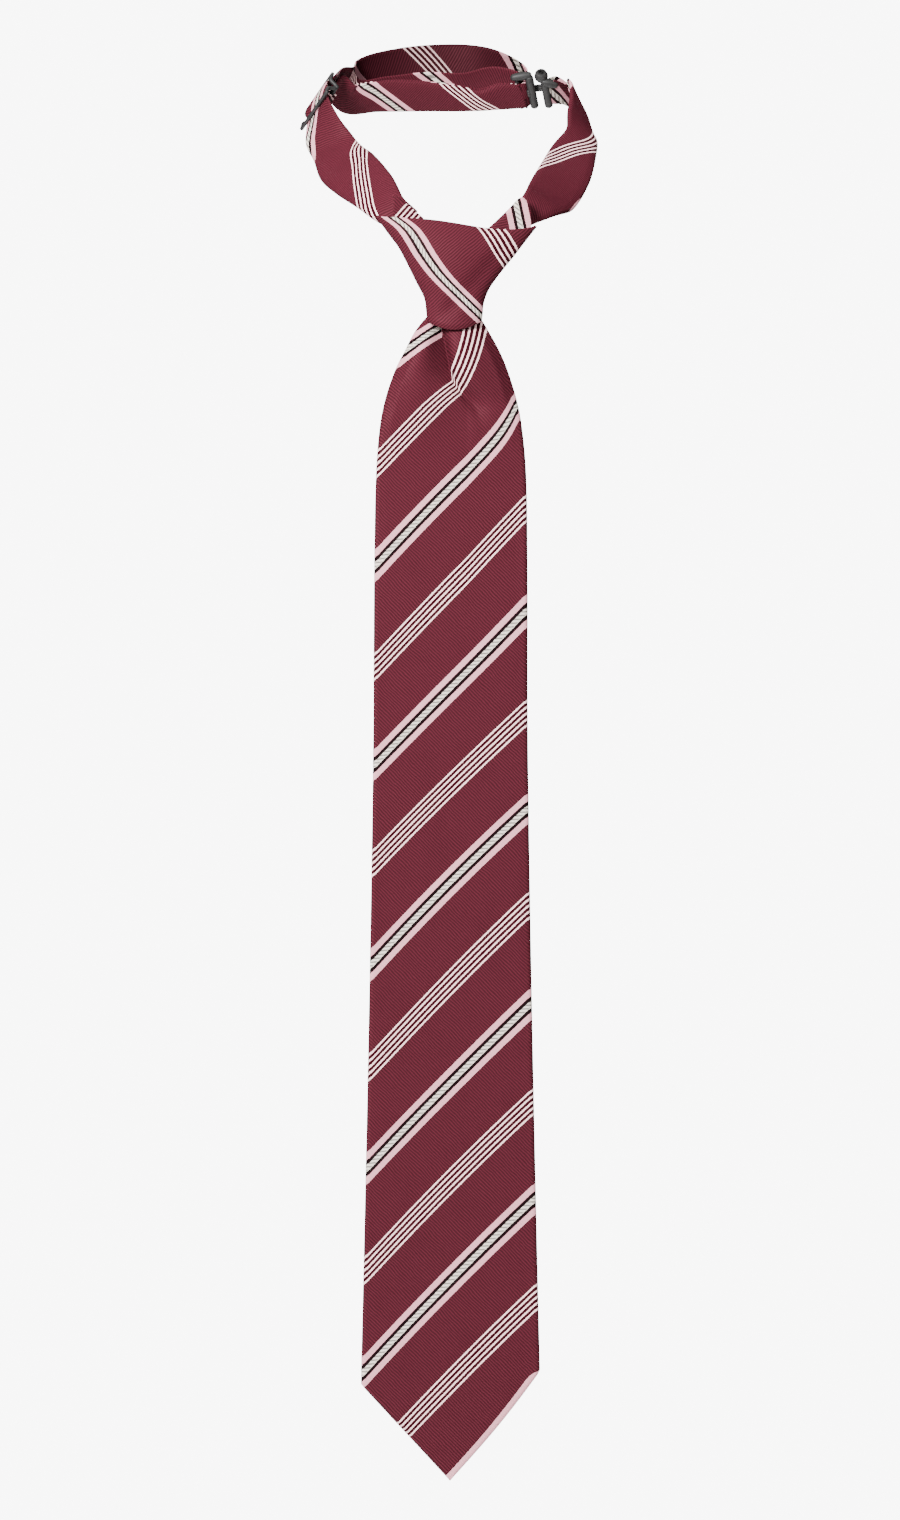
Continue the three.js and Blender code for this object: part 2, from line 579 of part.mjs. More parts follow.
// The right band's end, folded round the hook's strap bar.
function buildRightBandEnd() {
  const radius = CLASP_WIRE / 2 + CLOTH_GAP + 0.6;
  const outline = new THREE.Shape([
    ...arcPoints(radius + 0.6, Math.PI * 0.5, Math.PI * 1.5, 12),
    ...flatPoints([[4, -radius + 0.3], [7.5, -0.9], [7.5, 0.9], [4, radius - 0.3]]),
  ]);
  outline.holes.push(new THREE.Path(arcPoints(CLASP_WIRE / 2 + CLOTH_GAP, 0, 2 * Math.PI, 12)));
  const width = 11.6;
  const geometry = new THREE.ExtrudeGeometry(outline, { depth: width, bevelEnabled: false });
  geometry.translate(0, 0, -width / 2);
  const axis = new THREE.Vector3().crossVectors(CLASP_ALONG, CLASP_OUT);
  geometry.applyMatrix4(frameMatrix(CLASP_ALONG, CLASP_OUT, axis, HOOK_STRAP_BAR));
  addMesh('right_band_end', geometry, cloth(BURGUNDY));
  const seam = new THREE.BoxGeometry(0.6, 0.5, width - 3);
  const seamPlace = HOOK_STRAP_BAR.clone().addScaledVector(CLASP_ALONG, 6.6).addScaledVector(CLASP_OUT, -1.7);
  seam.applyMatrix4(frameMatrix(CLASP_ALONG, CLASP_OUT, axis, seamPlace));
  addMesh('right_band_end_seam', seam, cloth(THREAD));
}

// ---------- hardware ----------
function roundBar(from, to, radius, sides = 10) {
  const length = from.distanceTo(to);
  const geometry = new THREE.CylinderGeometry(radius, radius, length, sides);
  const direction = new THREE.Vector3().subVectors(to, from).normalize();
  const turn = new THREE.Quaternion().setFromUnitVectors(vec(0, 1, 0), direction);
  geometry.applyQuaternion(turn);
  const middle = from.clone().add(to).multiplyScalar(0.5);
  geometry.translate(middle.x, middle.y, middle.z);
  return geometry;
}

// Two outer rails and a sunk centre bar between bent cheeks.
function buildSlider() {
  const outward = SLIDER_INWARD.clone().negate();
  const wire = SLIDER_WIRE / 2;
  const railLevel = STRAP_HALF_THICKNESS + CLOTH_GAP + wire;
  const railReach = SLIDER_LENGTH / 2 - wire;
  const sag = (railReach * railReach) / (2 * STRAP_ARC_RADIUS);
  const halfWidth = SLIDER_WIDTH / 2;
  const at = (along, level, across) => SLIDER_POINT.clone()
    .addScaledVector(STRAP_RUN, along).addScaledVector(outward, level).addScaledVector(SLIDER_ACROSS, across);
  const bar = (along, level) => roundBar(at(along, level, -halfWidth + 0.4), at(along, level, halfWidth - 0.4), wire);
  const pieces = [bar(-railReach, railLevel - sag), bar(railReach, railLevel - sag), bar(0, TAB_BAR_DEPTH)];
  const cheek = new THREE.Shape();
  cheek.moveTo(-SLIDER_LENGTH / 2, railLevel - sag + wire);
  cheek.lineTo(0, railLevel + wire - 0.4);
  cheek.lineTo(SLIDER_LENGTH / 2, railLevel - sag + wire);
  cheek.lineTo(SLIDER_LENGTH / 2, railLevel - sag - wire);
  cheek.lineTo(1.6, TAB_BAR_DEPTH - wire);
  cheek.lineTo(-1.6, TAB_BAR_DEPTH - wire);
  cheek.lineTo(-SLIDER_LENGTH / 2, railLevel - sag - wire);
  const axis = new THREE.Vector3().crossVectors(STRAP_RUN, outward);
  for (const side of [-1, 1]) {
    const geometry = new THREE.ExtrudeGeometry(cheek, { depth: SLIDER_WIRE, bevelEnabled: false });
    geometry.translate(0, 0, side * (halfWidth - SLIDER_WIRE / 2) - SLIDER_WIRE / 2);
    geometry.applyMatrix4(frameMatrix(STRAP_RUN, outward, axis, SLIDER_POINT));
    pieces.push(geometry);
  }
  addMesh('slider', joined(pieces), metal(GUNMETAL));
}

// A rectangular ring of round wire: bars along CLASP_UP, ends along CLASP_ALONG.
function claspRing(frontBar, reach, halfHeight) {
  const wire = CLASP_WIRE / 2;
  const at = (along, up) => frontBar.clone().addScaledVector(CLASP_ALONG, along).addScaledVector(CLASP_UP, up);
  const over = wire * 0.9;
  const sign = Math.sign(reach);
  return [
    roundBar(at(0, -halfHeight), at(0, halfHeight), wire),
    roundBar(at(reach, -halfHeight), at(reach, halfHeight), wire),
    roundBar(at(-sign * over, halfHeight), at(reach + sign * over, halfHeight), wire * 1.15),
    roundBar(at(-sign * over, -halfHeight), at(reach + sign * over, -halfHeight), wire * 1.15),
  ];
}

function buildClasp() {
  addMesh('eye', joined(claspRing(EYE_BAR, -EYE_REACH, EYE_HALF_HEIGHT)), metal(GUNMETAL));

  // The tongue leaves the hook's front bar, passes outside the eye's bar and turns in behind it.
  const clear = CLASP_WIRE / 2 + 0.4;
  const thickness = 1.2;
  const tongue = new THREE.Shape([
    ...flatPoints([[HOOK_BAR_OFFSET, 0.7], [HOOK_BAR_OFFSET - 0.6, -0.6], [3.4, clear - 0.5]]),
    ...arcPoints(clear, Math.PI * 0.36, Math.PI * 1.15, 8),
    ...arcPoints(clear + thickness, Math.PI * 1.15, Math.PI * 0.36, 8),
    new THREE.Vector2(HOOK_BAR_OFFSET - 2, 1.9),
  ]);
  const geometry = new THREE.ExtrudeGeometry(tongue, { depth: TONGUE_WIDTH, bevelEnabled: false });
  geometry.translate(0, 0, -TONGUE_WIDTH / 2);
  const axis = new THREE.Vector3().crossVectors(CLASP_ALONG, CLASP_OUT);
  geometry.applyMatrix4(frameMatrix(CLASP_ALONG, CLASP_OUT, axis, EYE_BAR));
  const knobCentre = HOOK_FRONT_BAR.clone().addScaledVector(CLASP_UP, HOOK_HALF_HEIGHT + 1.4)
    .addScaledVector(CLASP_ALONG, -0.8);
  const knob = new THREE.SphereGeometry(2.4, 14, 10);
  knob.scale(1, 1, 0.8);
  knob.translate(knobCentre.x, knobCentre.y, knobCentre.z);
  const pieces = [...claspRing(HOOK_FRONT_BAR, HOOK_REACH, HOOK_HALF_HEIGHT), geometry, knob];
  addMesh('hook', joined(pieces), metal(GUNMETAL));
}

buildBlade();
buildTipping();
buildSlipStitch();
buildKeeper();
buildBackDetails();
buildKnot();
buildNeckStrap();
buildStrapEnd();
buildRightBand();
buildRightBandEnd();
buildSlider();
buildClasp();

export default necktie;
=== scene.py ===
import math
import bpy
import numpy as np
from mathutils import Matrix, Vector


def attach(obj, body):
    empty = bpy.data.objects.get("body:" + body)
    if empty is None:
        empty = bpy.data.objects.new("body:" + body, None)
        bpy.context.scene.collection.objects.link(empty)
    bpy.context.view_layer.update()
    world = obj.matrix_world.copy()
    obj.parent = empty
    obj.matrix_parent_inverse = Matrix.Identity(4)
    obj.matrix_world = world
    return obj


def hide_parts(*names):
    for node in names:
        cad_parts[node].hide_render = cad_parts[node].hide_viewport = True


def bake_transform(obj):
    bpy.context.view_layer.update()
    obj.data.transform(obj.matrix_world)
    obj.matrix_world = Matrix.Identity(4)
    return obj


# Looks for the pre-tied necktie. Lengths here are millimetres; MM turns them into metres.
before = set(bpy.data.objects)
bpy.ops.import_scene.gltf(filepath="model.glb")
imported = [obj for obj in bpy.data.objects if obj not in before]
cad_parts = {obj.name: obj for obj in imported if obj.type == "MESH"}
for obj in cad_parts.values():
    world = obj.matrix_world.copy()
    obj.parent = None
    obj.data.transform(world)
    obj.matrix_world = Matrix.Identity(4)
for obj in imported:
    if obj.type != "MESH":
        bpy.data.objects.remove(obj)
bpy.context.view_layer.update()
MM = 0.001

# ---------- driving sizes ----------
BLADE_TOP = -84.4              # the knot's mouth
BLADE_NECK_TOP = -76.5         # the blade's cloth goes on this far up inside the knot
LEFT_CORNER = -557
RIGHT_CORNER = -551
TIP = -600.2
HALF_UPPER = 34.4
HALF_LOWER = 40
TAPER_START = -250
FRONT = -58.6
BACK = -55
CLOTH = 0.7                    # thickness of the silk where the blade is folded
LOBE_DEPTH = 5.2
LOBE_FADE = 62
SEAM_START = -150
SEAM_END = -468
HEM = 11
KEEPER_Z = -330

# ---------- the woven pattern, measured across the stripes ----------
PERIOD = 62.7
FIVE_CENTRE = PERIOD * 0.25
ROPE_CENTRE = PERIOD * 0.75
LINE_PITCH = 1.93
LINE_WIDTH = 0.64
LINE_COUNT = 5
PINK_WIDTH = 2.35
BLACK_WIDTH = 1.5
ROPE_WIDTH = 2.1
RED_EDGE = 0.45
RIB_PITCH = 1.155
ROPE_PITCH = 2.38

# ---------- colours, as surface reflectance ----------
BURGUNDY = (0.0300, 0.0054, 0.0084)
# Lighter burgundy for the rib crests: painted highlight.
BURGUNDY_RIB_HIGHLIGHT = (0.0680, 0.0114, 0.0190)
PINK = (0.600, 0.275, 0.320)
BLACK = (0.0048, 0.0022, 0.0028)
ROPE = (0.640, 0.570, 0.500)
ROPE_GREY = (0.045, 0.043, 0.041)
LIGHT_LINE = (0.860, 0.560, 0.560)
DEEP_RED = (0.0230, 0.0016, 0.0040)
LINING = (0.0260, 0.0052, 0.0080)
WOOL = (0.300, 0.260, 0.200)
THREAD = (0.0300, 0.0056, 0.0086)
LABEL = (0.420, 0.390, 0.340)
GUNMETAL = (0.0190, 0.0185, 0.0185)


# ---------- small helpers ----------
def smooth(value):
    t = np.clip(value, 0, 1)
    return t * t * (3 - 2 * t)


def unit(vector):
    array = np.asarray(vector, float)
    return array / np.maximum(np.linalg.norm(array, axis=-1, keepdims=True), 1e-9)


def catmull(values, steps):
    """Smooth curve through rows of values, with that many steps between two rows."""
    values = np.asarray(values, float)
    padded = np.vstack([2 * values[0] - values[1], values, 2 * values[-1] - values[-2]])
    out = []
    for i in range(len(values) - 1):
        p0, p1, p2, p3 = padded[i:i + 4]
        for k in range(steps):
            t = k / steps
            out.append(0.5 * (2 * p1 + (p2 - p0) * t + (2 * p0 - 5 * p1 + 4 * p2 - p3) * t ** 2
                              + (3 * p1 - p0 - 3 * p2 + p3) * t ** 3))
    out.append(values[-1])
    return np.array(out)


# ---------- node helpers ----------
class Graph:
    """A material's node tree, with short ways to add the few nodes that are used here."""

    def __init__(self, name):
        self.material = bpy.data.materials.new(name)
        self.material.use_nodes = True
        self.tree = self.material.node_tree
        self.shader = self.tree.nodes["Principled BSDF"]

    def node(self, kind, **settings):
        made = self.tree.nodes.new(kind)
        for key, value in settings.items():
            setattr(made, key, value)
        return made

    def put(self, socket, value):
        if isinstance(value, bpy.types.NodeSocket):
            self.tree.links.new(value, socket)
        else:
            socket.default_value = value

    def math(self, operation, a, b=0.0, c=0.0):
        made = self.node("ShaderNodeMath", operation=operation)
        for socket, value in zip(made.inputs, (a, b, c)):
            self.put(socket, value)
        return made.outputs[0]

    def mix(self, factor, a, b, mode="MIX"):
        made = self.node("ShaderNodeMix", data_type="RGBA", blend_type=mode)
        self.put(made.inputs["Factor"], factor)
        for socket, value in ((made.inputs[6], a), (made.inputs[7], b)):
            self.put(socket, (*value, 1) if isinstance(value, tuple) else value)
        return made.outputs[2]

    def noise(self, scale, detail=2.0, vector=None):
        made = self.node("ShaderNodeTexNoise")
        made.inputs["Scale"].default_value = scale
        made.inputs["Detail"].default_value = detail
        if vector is not None:
            self.put(made.inputs["Vector"], vector)
        return made.outputs["Fac"]

    def cloth_axes(self):
        """Distances in millimetres across and along the stripes."""
        uv = self.node("ShaderNodeUVMap", uv_map="cloth")
        parts = self.node("ShaderNodeSeparateXYZ")
        self.put(parts.inputs[0], uv.outputs[0])
        across = self.math("MULTIPLY", parts.outputs[0], 100.0)
        along = self.math("MULTIPLY", parts.outputs[1], 100.0)
        return across, along, uv.outputs[0]

    def bump(self, height, strength, distance):
        made = self.node("ShaderNodeBump")
        made.inputs["Strength"].default_value = strength
        made.inputs["Distance"].default_value = distance
        self.put(made.inputs["Height"], height)
        self.put(self.shader.inputs["Normal"], made.outputs[0])

    def finish(self, colour, roughness, specular, tint=None, sheen=0.0):
        self.put(self.shader.inputs["Base Color"], colour)
        self.put(self.shader.inputs["Roughness"], roughness)
        self.shader.inputs["Specular IOR Level"].default_value = specular
        if tint:
            self.shader.inputs["Specular Tint"].default_value = (*tint, 1)
        if sheen:
            self.shader.inputs["Sheen Weight"].default_value = sheen
            self.shader.inputs["Sheen Roughness"].default_value = 0.4
            self.shader.inputs["Sheen Tint"].default_value = (1, 0.45, 0.52, 1)
        return self.material


# ---------- materials ----------
def stripe_bands():
    """(start, colour, how strongly the ribs show) for one repeat, in order."""
    ribs, plain = 1.0, 0.12
    bands = [(0.0, BURGUNDY, ribs)]
    start = FIVE_CENTRE - LINE_PITCH * (LINE_COUNT - 1) / 2 - LINE_WIDTH / 2
    bands.append((start - RED_EDGE, DEEP_RED, 0.3))
    for i in range(LINE_COUNT):
        bands.append((start + i * LINE_PITCH, LIGHT_LINE, plain))
        bands.append((start + i * LINE_PITCH + LINE_WIDTH, DEEP_RED, 0.3))
    end = start + (LINE_COUNT - 1) * LINE_PITCH + LINE_WIDTH
    bands.append((end + RED_EDGE, BURGUNDY, ribs))
    place = ROPE_CENTRE - ROPE_WIDTH / 2 - BLACK_WIDTH - PINK_WIDTH - RED_EDGE
    widths = [RED_EDGE, PINK_WIDTH, BLACK_WIDTH, ROPE_WIDTH, BLACK_WIDTH, PINK_WIDTH, RED_EDGE]
    colours = [DEEP_RED, PINK, BLACK, ROPE, BLACK, PINK, DEEP_RED]
    for width, colour in zip(widths, colours):
        bands.append((place, colour, 0.35 if colour == PINK else plain))
        place += width
    bands.append((place, BURGUNDY, ribs))
    return bands


def striped_silk(name, shade):
    g = Graph(name)
    across, along, uv = g.cloth_axes()
    wobble = g.math("MULTIPLY", g.math("SUBTRACT", g.noise(90.0, 1.0, uv), 0.5), 0.28)
    phase = g.math("FLOORED_MODULO", g.math("ADD", across, wobble), PERIOD)
    ramp = g.node("ShaderNodeValToRGB")
    ramp.color_ramp.interpolation = "CONSTANT"
    stops = ramp.color_ramp.elements
    stops.remove(stops[1])
    for i, (start, colour, ribs) in enumerate(stripe_bands()):
        stop = stops[0] if i == 0 else stops.new(start / PERIOD)
        stop.position = start / PERIOD
        stop.color = (*colour, ribs)
    g.put(ramp.inputs[0], g.math("DIVIDE", phase, PERIOD))
    rib_strength = ramp.outputs["Alpha"]

    drift = g.math("MULTIPLY", g.noise(14.0, 2.0, uv), 1.2)
    turns = g.math("ADD", g.math("DIVIDE", along, RIB_PITCH), drift)
    wave = g.math("SINE", g.math("MULTIPLY", turns, 2 * math.pi))
    rib = g.math("MULTIPLY_ADD", wave, 0.5, 0.5)
    # Rib crests are painted lighter and the grooves darker, in step with the bump: painted highlight and
    # painted shade.
    ground = g.mix(g.math("MULTIPLY", rib, rib_strength), ramp.outputs["Color"], BURGUNDY_RIB_HIGHLIGHT)
    masked = g.mix(g.math("MULTIPLY", rib_strength, 0.85), ramp.outputs["Color"], ground)
    rib_shade = g.math("MULTIPLY_ADD", rib, 0.2, 0.8)
    rib_shaded = g.mix(1.0, masked, g.mix(rib_shade, (0.0, 0.0, 0.0), (1.0, 1.0, 1.0)), "MULTIPLY")

    from_rope = g.math("SUBTRACT", phase, ROPE_CENTRE)
    on_rope = g.math("LESS_THAN", g.math("ABSOLUTE", from_rope), ROPE_WIDTH / 2)
    lean = g.math("MULTIPLY", from_rope, 1.15)
    strand = g.math("DIVIDE", g.math("ADD", along, lean), ROPE_PITCH)
    twist = g.math("SINE", g.math("MULTIPLY", strand, 2 * math.pi))
    groove = g.math("MULTIPLY", g.math("GREATER_THAN", twist, 0.25), on_rope)
    roped = g.mix(g.math("MULTIPLY", groove, 0.8), rib_shaded, ROPE_GREY)
    # A shade below 1 darkens the whole cloth: painted shade.
    cloudy = g.math("MULTIPLY_ADD", g.noise(6.0, 3.0, uv), 0.24 * shade, 0.88 * shade)
    colour = g.mix(1.0, roped, g.mix(cloudy, (0.0, 0.0, 0.0), (1.0, 1.0, 1.0)), "MULTIPLY")

    raised = g.math("MULTIPLY", rib, rib_strength)
    cord = g.math("MULTIPLY", g.math("MULTIPLY_ADD", twist, -0.5, 0.5), on_rope)
    threads = g.math("MULTIPLY", g.noise(420.0, 1.0, uv), 0.35)
    height = g.math("ADD", g.math("ADD", raised, cord), threads)
    g.bump(height, 0.55, 0.00016)
    roughness = g.math("MULTIPLY_ADD", rib, -0.12, 0.52)
    return g.finish(colour, roughness, 0.05, (1.0, 0.36, 0.42))


def woven(name, dark, light, pitch, specular, fuzz=0.2):
    """A plain cloth or thread with a fine weave in two directions."""
    g = Graph(name)
    across, along, uv = g.cloth_axes()
    one = g.math("SINE", g.math("MULTIPLY", across, 2 * math.pi / pitch))
    two = g.math("SINE", g.math("MULTIPLY", along, 2 * math.pi / pitch))
    grid = g.math("MULTIPLY_ADD", g.math("MULTIPLY", one, two), 0.5, 0.5)
    speckle = g.noise(60.0, 3.0, uv)
    mixed = g.math("MULTIPLY_ADD", speckle, fuzz, g.math("MULTIPLY", grid, 1 - fuzz))
    colour = g.mix(mixed, dark, light)
    g.bump(g.math("ADD", grid, speckle), 0.4, 0.0001)
    return g.finish(colour, 0.6, specular, light, 0.02)


def gunmetal():
    g = Graph("gunmetal_hardware")
    place = g.node("ShaderNodeTexCoord").outputs["Object"]
    patches = g.noise(900.0, 4.0, place)
    worn = g.noise(140.0, 2.0, place)
    darker = tuple(0.55 * value for value in GUNMETAL)
    colour = g.mix(worn, darker, tuple(1.5 * value for value in GUNMETAL))
    g.bump(patches, 0.12, 0.00005)
    g.shader.inputs["Metallic"].default_value = 0.2
    roughness = g.math("MULTIPLY_ADD", worn, 0.2, 0.42)
    return g.finish(colour, roughness, 0.22)


def lighter(colour, factor):
    return tuple(min(1.0, factor * value) for value in colour)


SILK = striped_silk("striped_silk", 1.0)
# A darker copy of the silk for the inner faces of the silk sheets: painted shade inside the folds.
SILK_PAINTED_SHADE = striped_silk("striped_silk_painted_shade", 0.42)
LINING_CLOTH = woven("tipping_lining", lighter(LINING, 0.75), lighter(LINING, 1.3), 0.6, 0.12)
WOOL_CLOTH = woven("interlining", lighter(WOOL, 0.7), lighter(WOOL, 1.1), 1.6, 0.05, 0.7)
SEWING = woven("sewing_thread", lighter(THREAD, 0.7), lighter(THREAD, 1.5), 0.45, 0.15, 0.1)
TAPE = woven("label_tape", lighter(LABEL, 0.8), lighter(LABEL, 1.1), 0.8, 0.1, 0.15)
METAL = gunmetal()


# ---------- meshes ----------
def face_grid(index, flip):
    a, b, c, d = index[:-1, :-1], index[1:, :-1], index[1:, 1:], index[:-1, 1:]
    corners = (a, d, c, b) if flip else (a, b, c, d)
    return np.stack([corner.ravel() for corner in corners], axis=1)


def build(name, vertices, faces, corner_uv, material, slot_name, body=None, nodes=(), painted_shade_faces=()):
    mesh = bpy.data.meshes.new(name)
    mesh.from_pydata((vertices * MM).tolist(), [], [list(face) for face in faces])
    layer = mesh.uv_layers.new(name="cloth")
    layer.data.foreach_set("uv", (np.concatenate(corner_uv) / 100.0).ravel())
    mesh.polygons.foreach_set("use_smooth", [True] * len(mesh.polygons))
    mesh.materials.append(material)
    # The inner faces of a silk sheet take the darker copy: painted shade.
    if len(painted_shade_faces) and material == SILK:
        mesh.materials.append(SILK_PAINTED_SHADE)
        marks = np.zeros(len(mesh.polygons), dtype=np.int32)
        marks[painted_shade_faces[0]:painted_shade_faces[1]] = 1
        mesh.polygons.foreach_set("material_index", marks)
    piece = bpy.data.objects.new(name, mesh)
    bpy.context.scene.collection.objects.link(piece)
    if body:
        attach(piece, body)
    if nodes:
        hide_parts(*nodes)
    return piece


def grid_normals(points, closed):
    down = np.gradient(points, axis=0)
    if closed:
        over = np.roll(points, -1, axis=1) - np.roll(points, 1, axis=1)
    else:
        over = np.gradient(points, axis=1)
    return unit(np.cross(down, over))


def cloth_piece(name, outer, uv, wall, material, slot_name, closed=False, flip=False, **where):
    """A sheet with thickness. outer is its right side in rows; uv has one more column if closed."""
    rows, columns = outer.shape[:2]
    normal = grid_normals(outer, closed) * (-1 if flip else 1)
    inner = outer - normal * wall
    index = np.arange(rows * columns).reshape(rows, columns)
    if closed:
        index = np.concatenate([index, index[:, :1]], axis=1)
    wide = index.shape[1]
    uv_index = np.arange(rows * wide).reshape(rows, wide)
    flat_uv = uv.reshape(-1, 2)
    offset = rows * columns
    faces = [face_grid(index, flip), face_grid(index, not flip) + offset]
    uvs = [face_grid(uv_index, flip), face_grid(uv_index, not flip)]
    rims = [(index[0], uv_index[0], False), (index[-1], uv_index[-1], True)]
    if not closed:
        rims += [(index[:, 0], uv_index[:, 0], True), (index[:, -1], uv_index[:, -1], False)]
    for line, uv_line, backward in rims:
        a, b = (line[1:], line[:-1]) if backward != flip else (line[:-1], line[1:])
        ua, ub = (uv_line[1:], uv_line[:-1]) if backward != flip else (uv_line[:-1], uv_line[1:])
        faces.append(np.stack([a, b, b + offset, a + offset], axis=1))
        uvs.append(np.stack([ua, ub, ub, ua], axis=1))
    vertices = np.concatenate([outer.reshape(-1, 3), inner.reshape(-1, 3)])
    corner_uv = [flat_uv[block.ravel()] for block in uvs]
    shown = (len(faces[0]), len(faces[0]) + len(faces[1]))
    faces = np.concatenate(faces)
    return build(name, vertices, faces, corner_uv, material, slot_name, painted_shade_faces=shown, **where)


def solid_piece(name, parts, material, slot_name, **where):
    """One or more closed skins, each a stack of rings; the ends are closed with one face each."""
    vertices, faces, corner_uv, base = [], [], [], 0
    for rings in parts:
        rings = np.asarray(rings, float)
        rows, columns = rings.shape[:2]
        index = np.arange(rows * columns).reshape(rows, columns)
        index = np.concatenate([index, index[:, :1]], axis=1)
        girth = np.linalg.norm(np.roll(rings, -1, axis=1) - rings, axis=2)
        around = np.concatenate([np.zeros((rows, 1)), np.cumsum(girth, axis=1)], axis=1)
        step = np.linalg.norm(np.diff(rings.mean(axis=1), axis=0), axis=1)
        length = np.concatenate([[0], np.cumsum(step)])[:, None] * np.ones((1, columns + 1))
        uv = np.stack([around, length], axis=2).reshape(-1, 2)
        centre = rings.mean(axis=(0, 1))
        wide = np.arange(rows * (columns + 1)).reshape(rows, columns + 1)
        quads = face_grid(index, False)
        volume = 0.0
        flat = rings.reshape(-1, 3)
        for a, b, c in ((0, 1, 2), (0, 2, 3)):
            p, q, r = (flat[quads[:, k]] - centre for k in (a, b, c))
            volume += np.einsum("ij,ij->i", p, np.cross(q, r)).sum()
        flip = volume < 0
        faces += [list(face + base) for face in face_grid(index, flip)]
        corner_uv.append(uv[face_grid(wide, flip).ravel()])
        first, last = list(index[0, :-1] + base), list(index[-1, :-1] + base)
        for cap, backward, row in ((first, flip, 0), (last, not flip, rows - 1)):
            faces.append(cap if backward else cap[::-1])
            corner_uv.append(np.tile(uv[wide[row, 0]], (columns, 1)))
        vertices.append(flat)
        base += rows * columns
    return build(name, np.concatenate(vertices), faces, corner_uv, material, slot_name, **where)


def tube(path, radius, sides=14):
    """Rings of a round wire along a path, with rounded ends."""
    path = np.asarray(path, float)
    tangent = unit(np.gradient(path, axis=0))
    side = unit(np.cross(tangent[0], (0.31, 0.52, 0.79)))
    radii = np.broadcast_to(np.asarray(radius, float), (len(path),))
    rings = []
    for i, (point, direction) in enumerate(zip(path, tangent)):
        side = unit(side - direction * np.dot(side, direction))
        other = np.cross(direction, side)
        angles = np.linspace(0, 2 * math.pi, sides, endpoint=False)
        ring = [point + radii[i] * (math.cos(t) * side + math.sin(t) * other) for t in angles]
        rings.append(np.array(ring))
    caps = []
    for end, direction, radius_end in ((0, -tangent[0], radii[0]), (-1, tangent[-1], radii[-1])):
        cap = []
        for angle in (25, 50, 72):
            turn = math.radians(angle)
            centre = path[end] + direction * radius_end * math.sin(turn) * 0.8
            cap.append(centre + (rings[end] - path[end]) * math.cos(turn))
        caps.append(cap)
    return caps[0][::-1] + rings + caps[1]


# ---------- the blade ----------
# Half width of the gathered shoulders, level by level, each side on its own.
SHOULDER_LEFT = catmull([(-70, 7.0), (-75, 9.0), (-79, 12.4), (-84, 16.2), (-92, 20.3), (-101, 24.8),
                         (-114, 29.2), (-128, 31.8), (-150, 33.4), (-190, 34.1), (-240, HALF_UPPER)], 4)
SHOULDER_RIGHT = catmull([(-70, 9.0), (-75, 11.4), (-79, 14.8), (-84, 17.8), (-92, 22.2), (-101, 26.0),
                          (-114, 30.0), (-128, 32.6), (-150, 34.4), (-190, 34.9),
                          (-240, HALF_UPPER + 0.5)], 4)


def blade_half(z, side):
    shoulder = SHOULDER_LEFT if side < 0 else SHOULDER_RIGHT
    gathered = np.interp(-z, -shoulder[:, 0], shoulder[:, 1])
    taper = np.clip((TAPER_START - z) / (TAPER_START - RIGHT_CORNER), 0, 1)
    return gathered + (HALF_LOWER - HALF_UPPER) * taper ** 1.3


def blade_edge(z, side):
    """Left or right edge; below a corner it runs to the tip, bowed out a little on the right."""
    corner = LEFT_CORNER if side < 0 else RIGHT_CORNER
    to_tip = np.clip((z - TIP) / (corner - TIP), 0, 1)
    bowed = to_tip + (0.035 * np.sin(math.pi * to_tip) if side > 0 else 0)
    return side * blade_half(np.maximum(z, corner), side) * bowed


def crease_x(z):
    """Where the dimple's sharp fold runs."""
    return -3.1 + 3.1 * smooth((-82 - z) / 22) + 7.5 * smooth((-100 - z) / 18)


def blade_forward(x, z, left, right):
    """How far the front cloth stands forward: two gathered lobes and the dimple between them."""
    crease = np.clip(crease_x(z), left + 2, right - 2)
    below = BLADE_TOP - z
    fade = 1 - smooth(below / LOBE_FADE)
    u_left = np.clip((crease - x) / (crease - left), 0, 1)
    u_right = np.clip((x - crease) / (right - crease), 0, 1)
    lobe_left = np.sin(math.pi * u_left ** 1.1) ** 2
    lobe_right = np.sin(math.pi * u_right ** 0.62) ** 2
    lobe = np.where(x < crease, lobe_left, lobe_right)
    pinch = 1 - 0.5 * smooth((z - BLADE_TOP + 6) / 12)
    swell = 3.4 * np.exp(-((below - 12) / 26) ** 2)
    gap = x - crease
    groove = np.where(gap < 0, np.exp(-np.abs(gap / 8.0)), np.exp(-(gap / 1.5) ** 2))
    groove_depth = (1.2 + swell) * (1 - smooth((below - 16) / 14))
    along = (gap - 3) * 0.42 - (z + 114) * 0.91
    across = (gap - 3) * 0.91 + (z + 114) * 0.42
    width = np.where(across < 0, 3.2, 7.5)
    hollow = 3.8 * np.exp(-(along / 9) ** 2 - (across / width) ** 2)
    waves = 0.35 * np.sin(z / 27 + x / 19) * np.sin(z / 61 + 1.3) * smooth((-130 - z) / 60)
    edge = smooth(np.minimum(x - left, right - x) / 6)
    shape = (LOBE_DEPTH - 1.6) * fade * pinch * lobe + swell - groove * groove_depth
    shape = np.maximum(shape - hollow * smooth((below + 4) / 20), -1.3)
    return (shape + waves) * edge


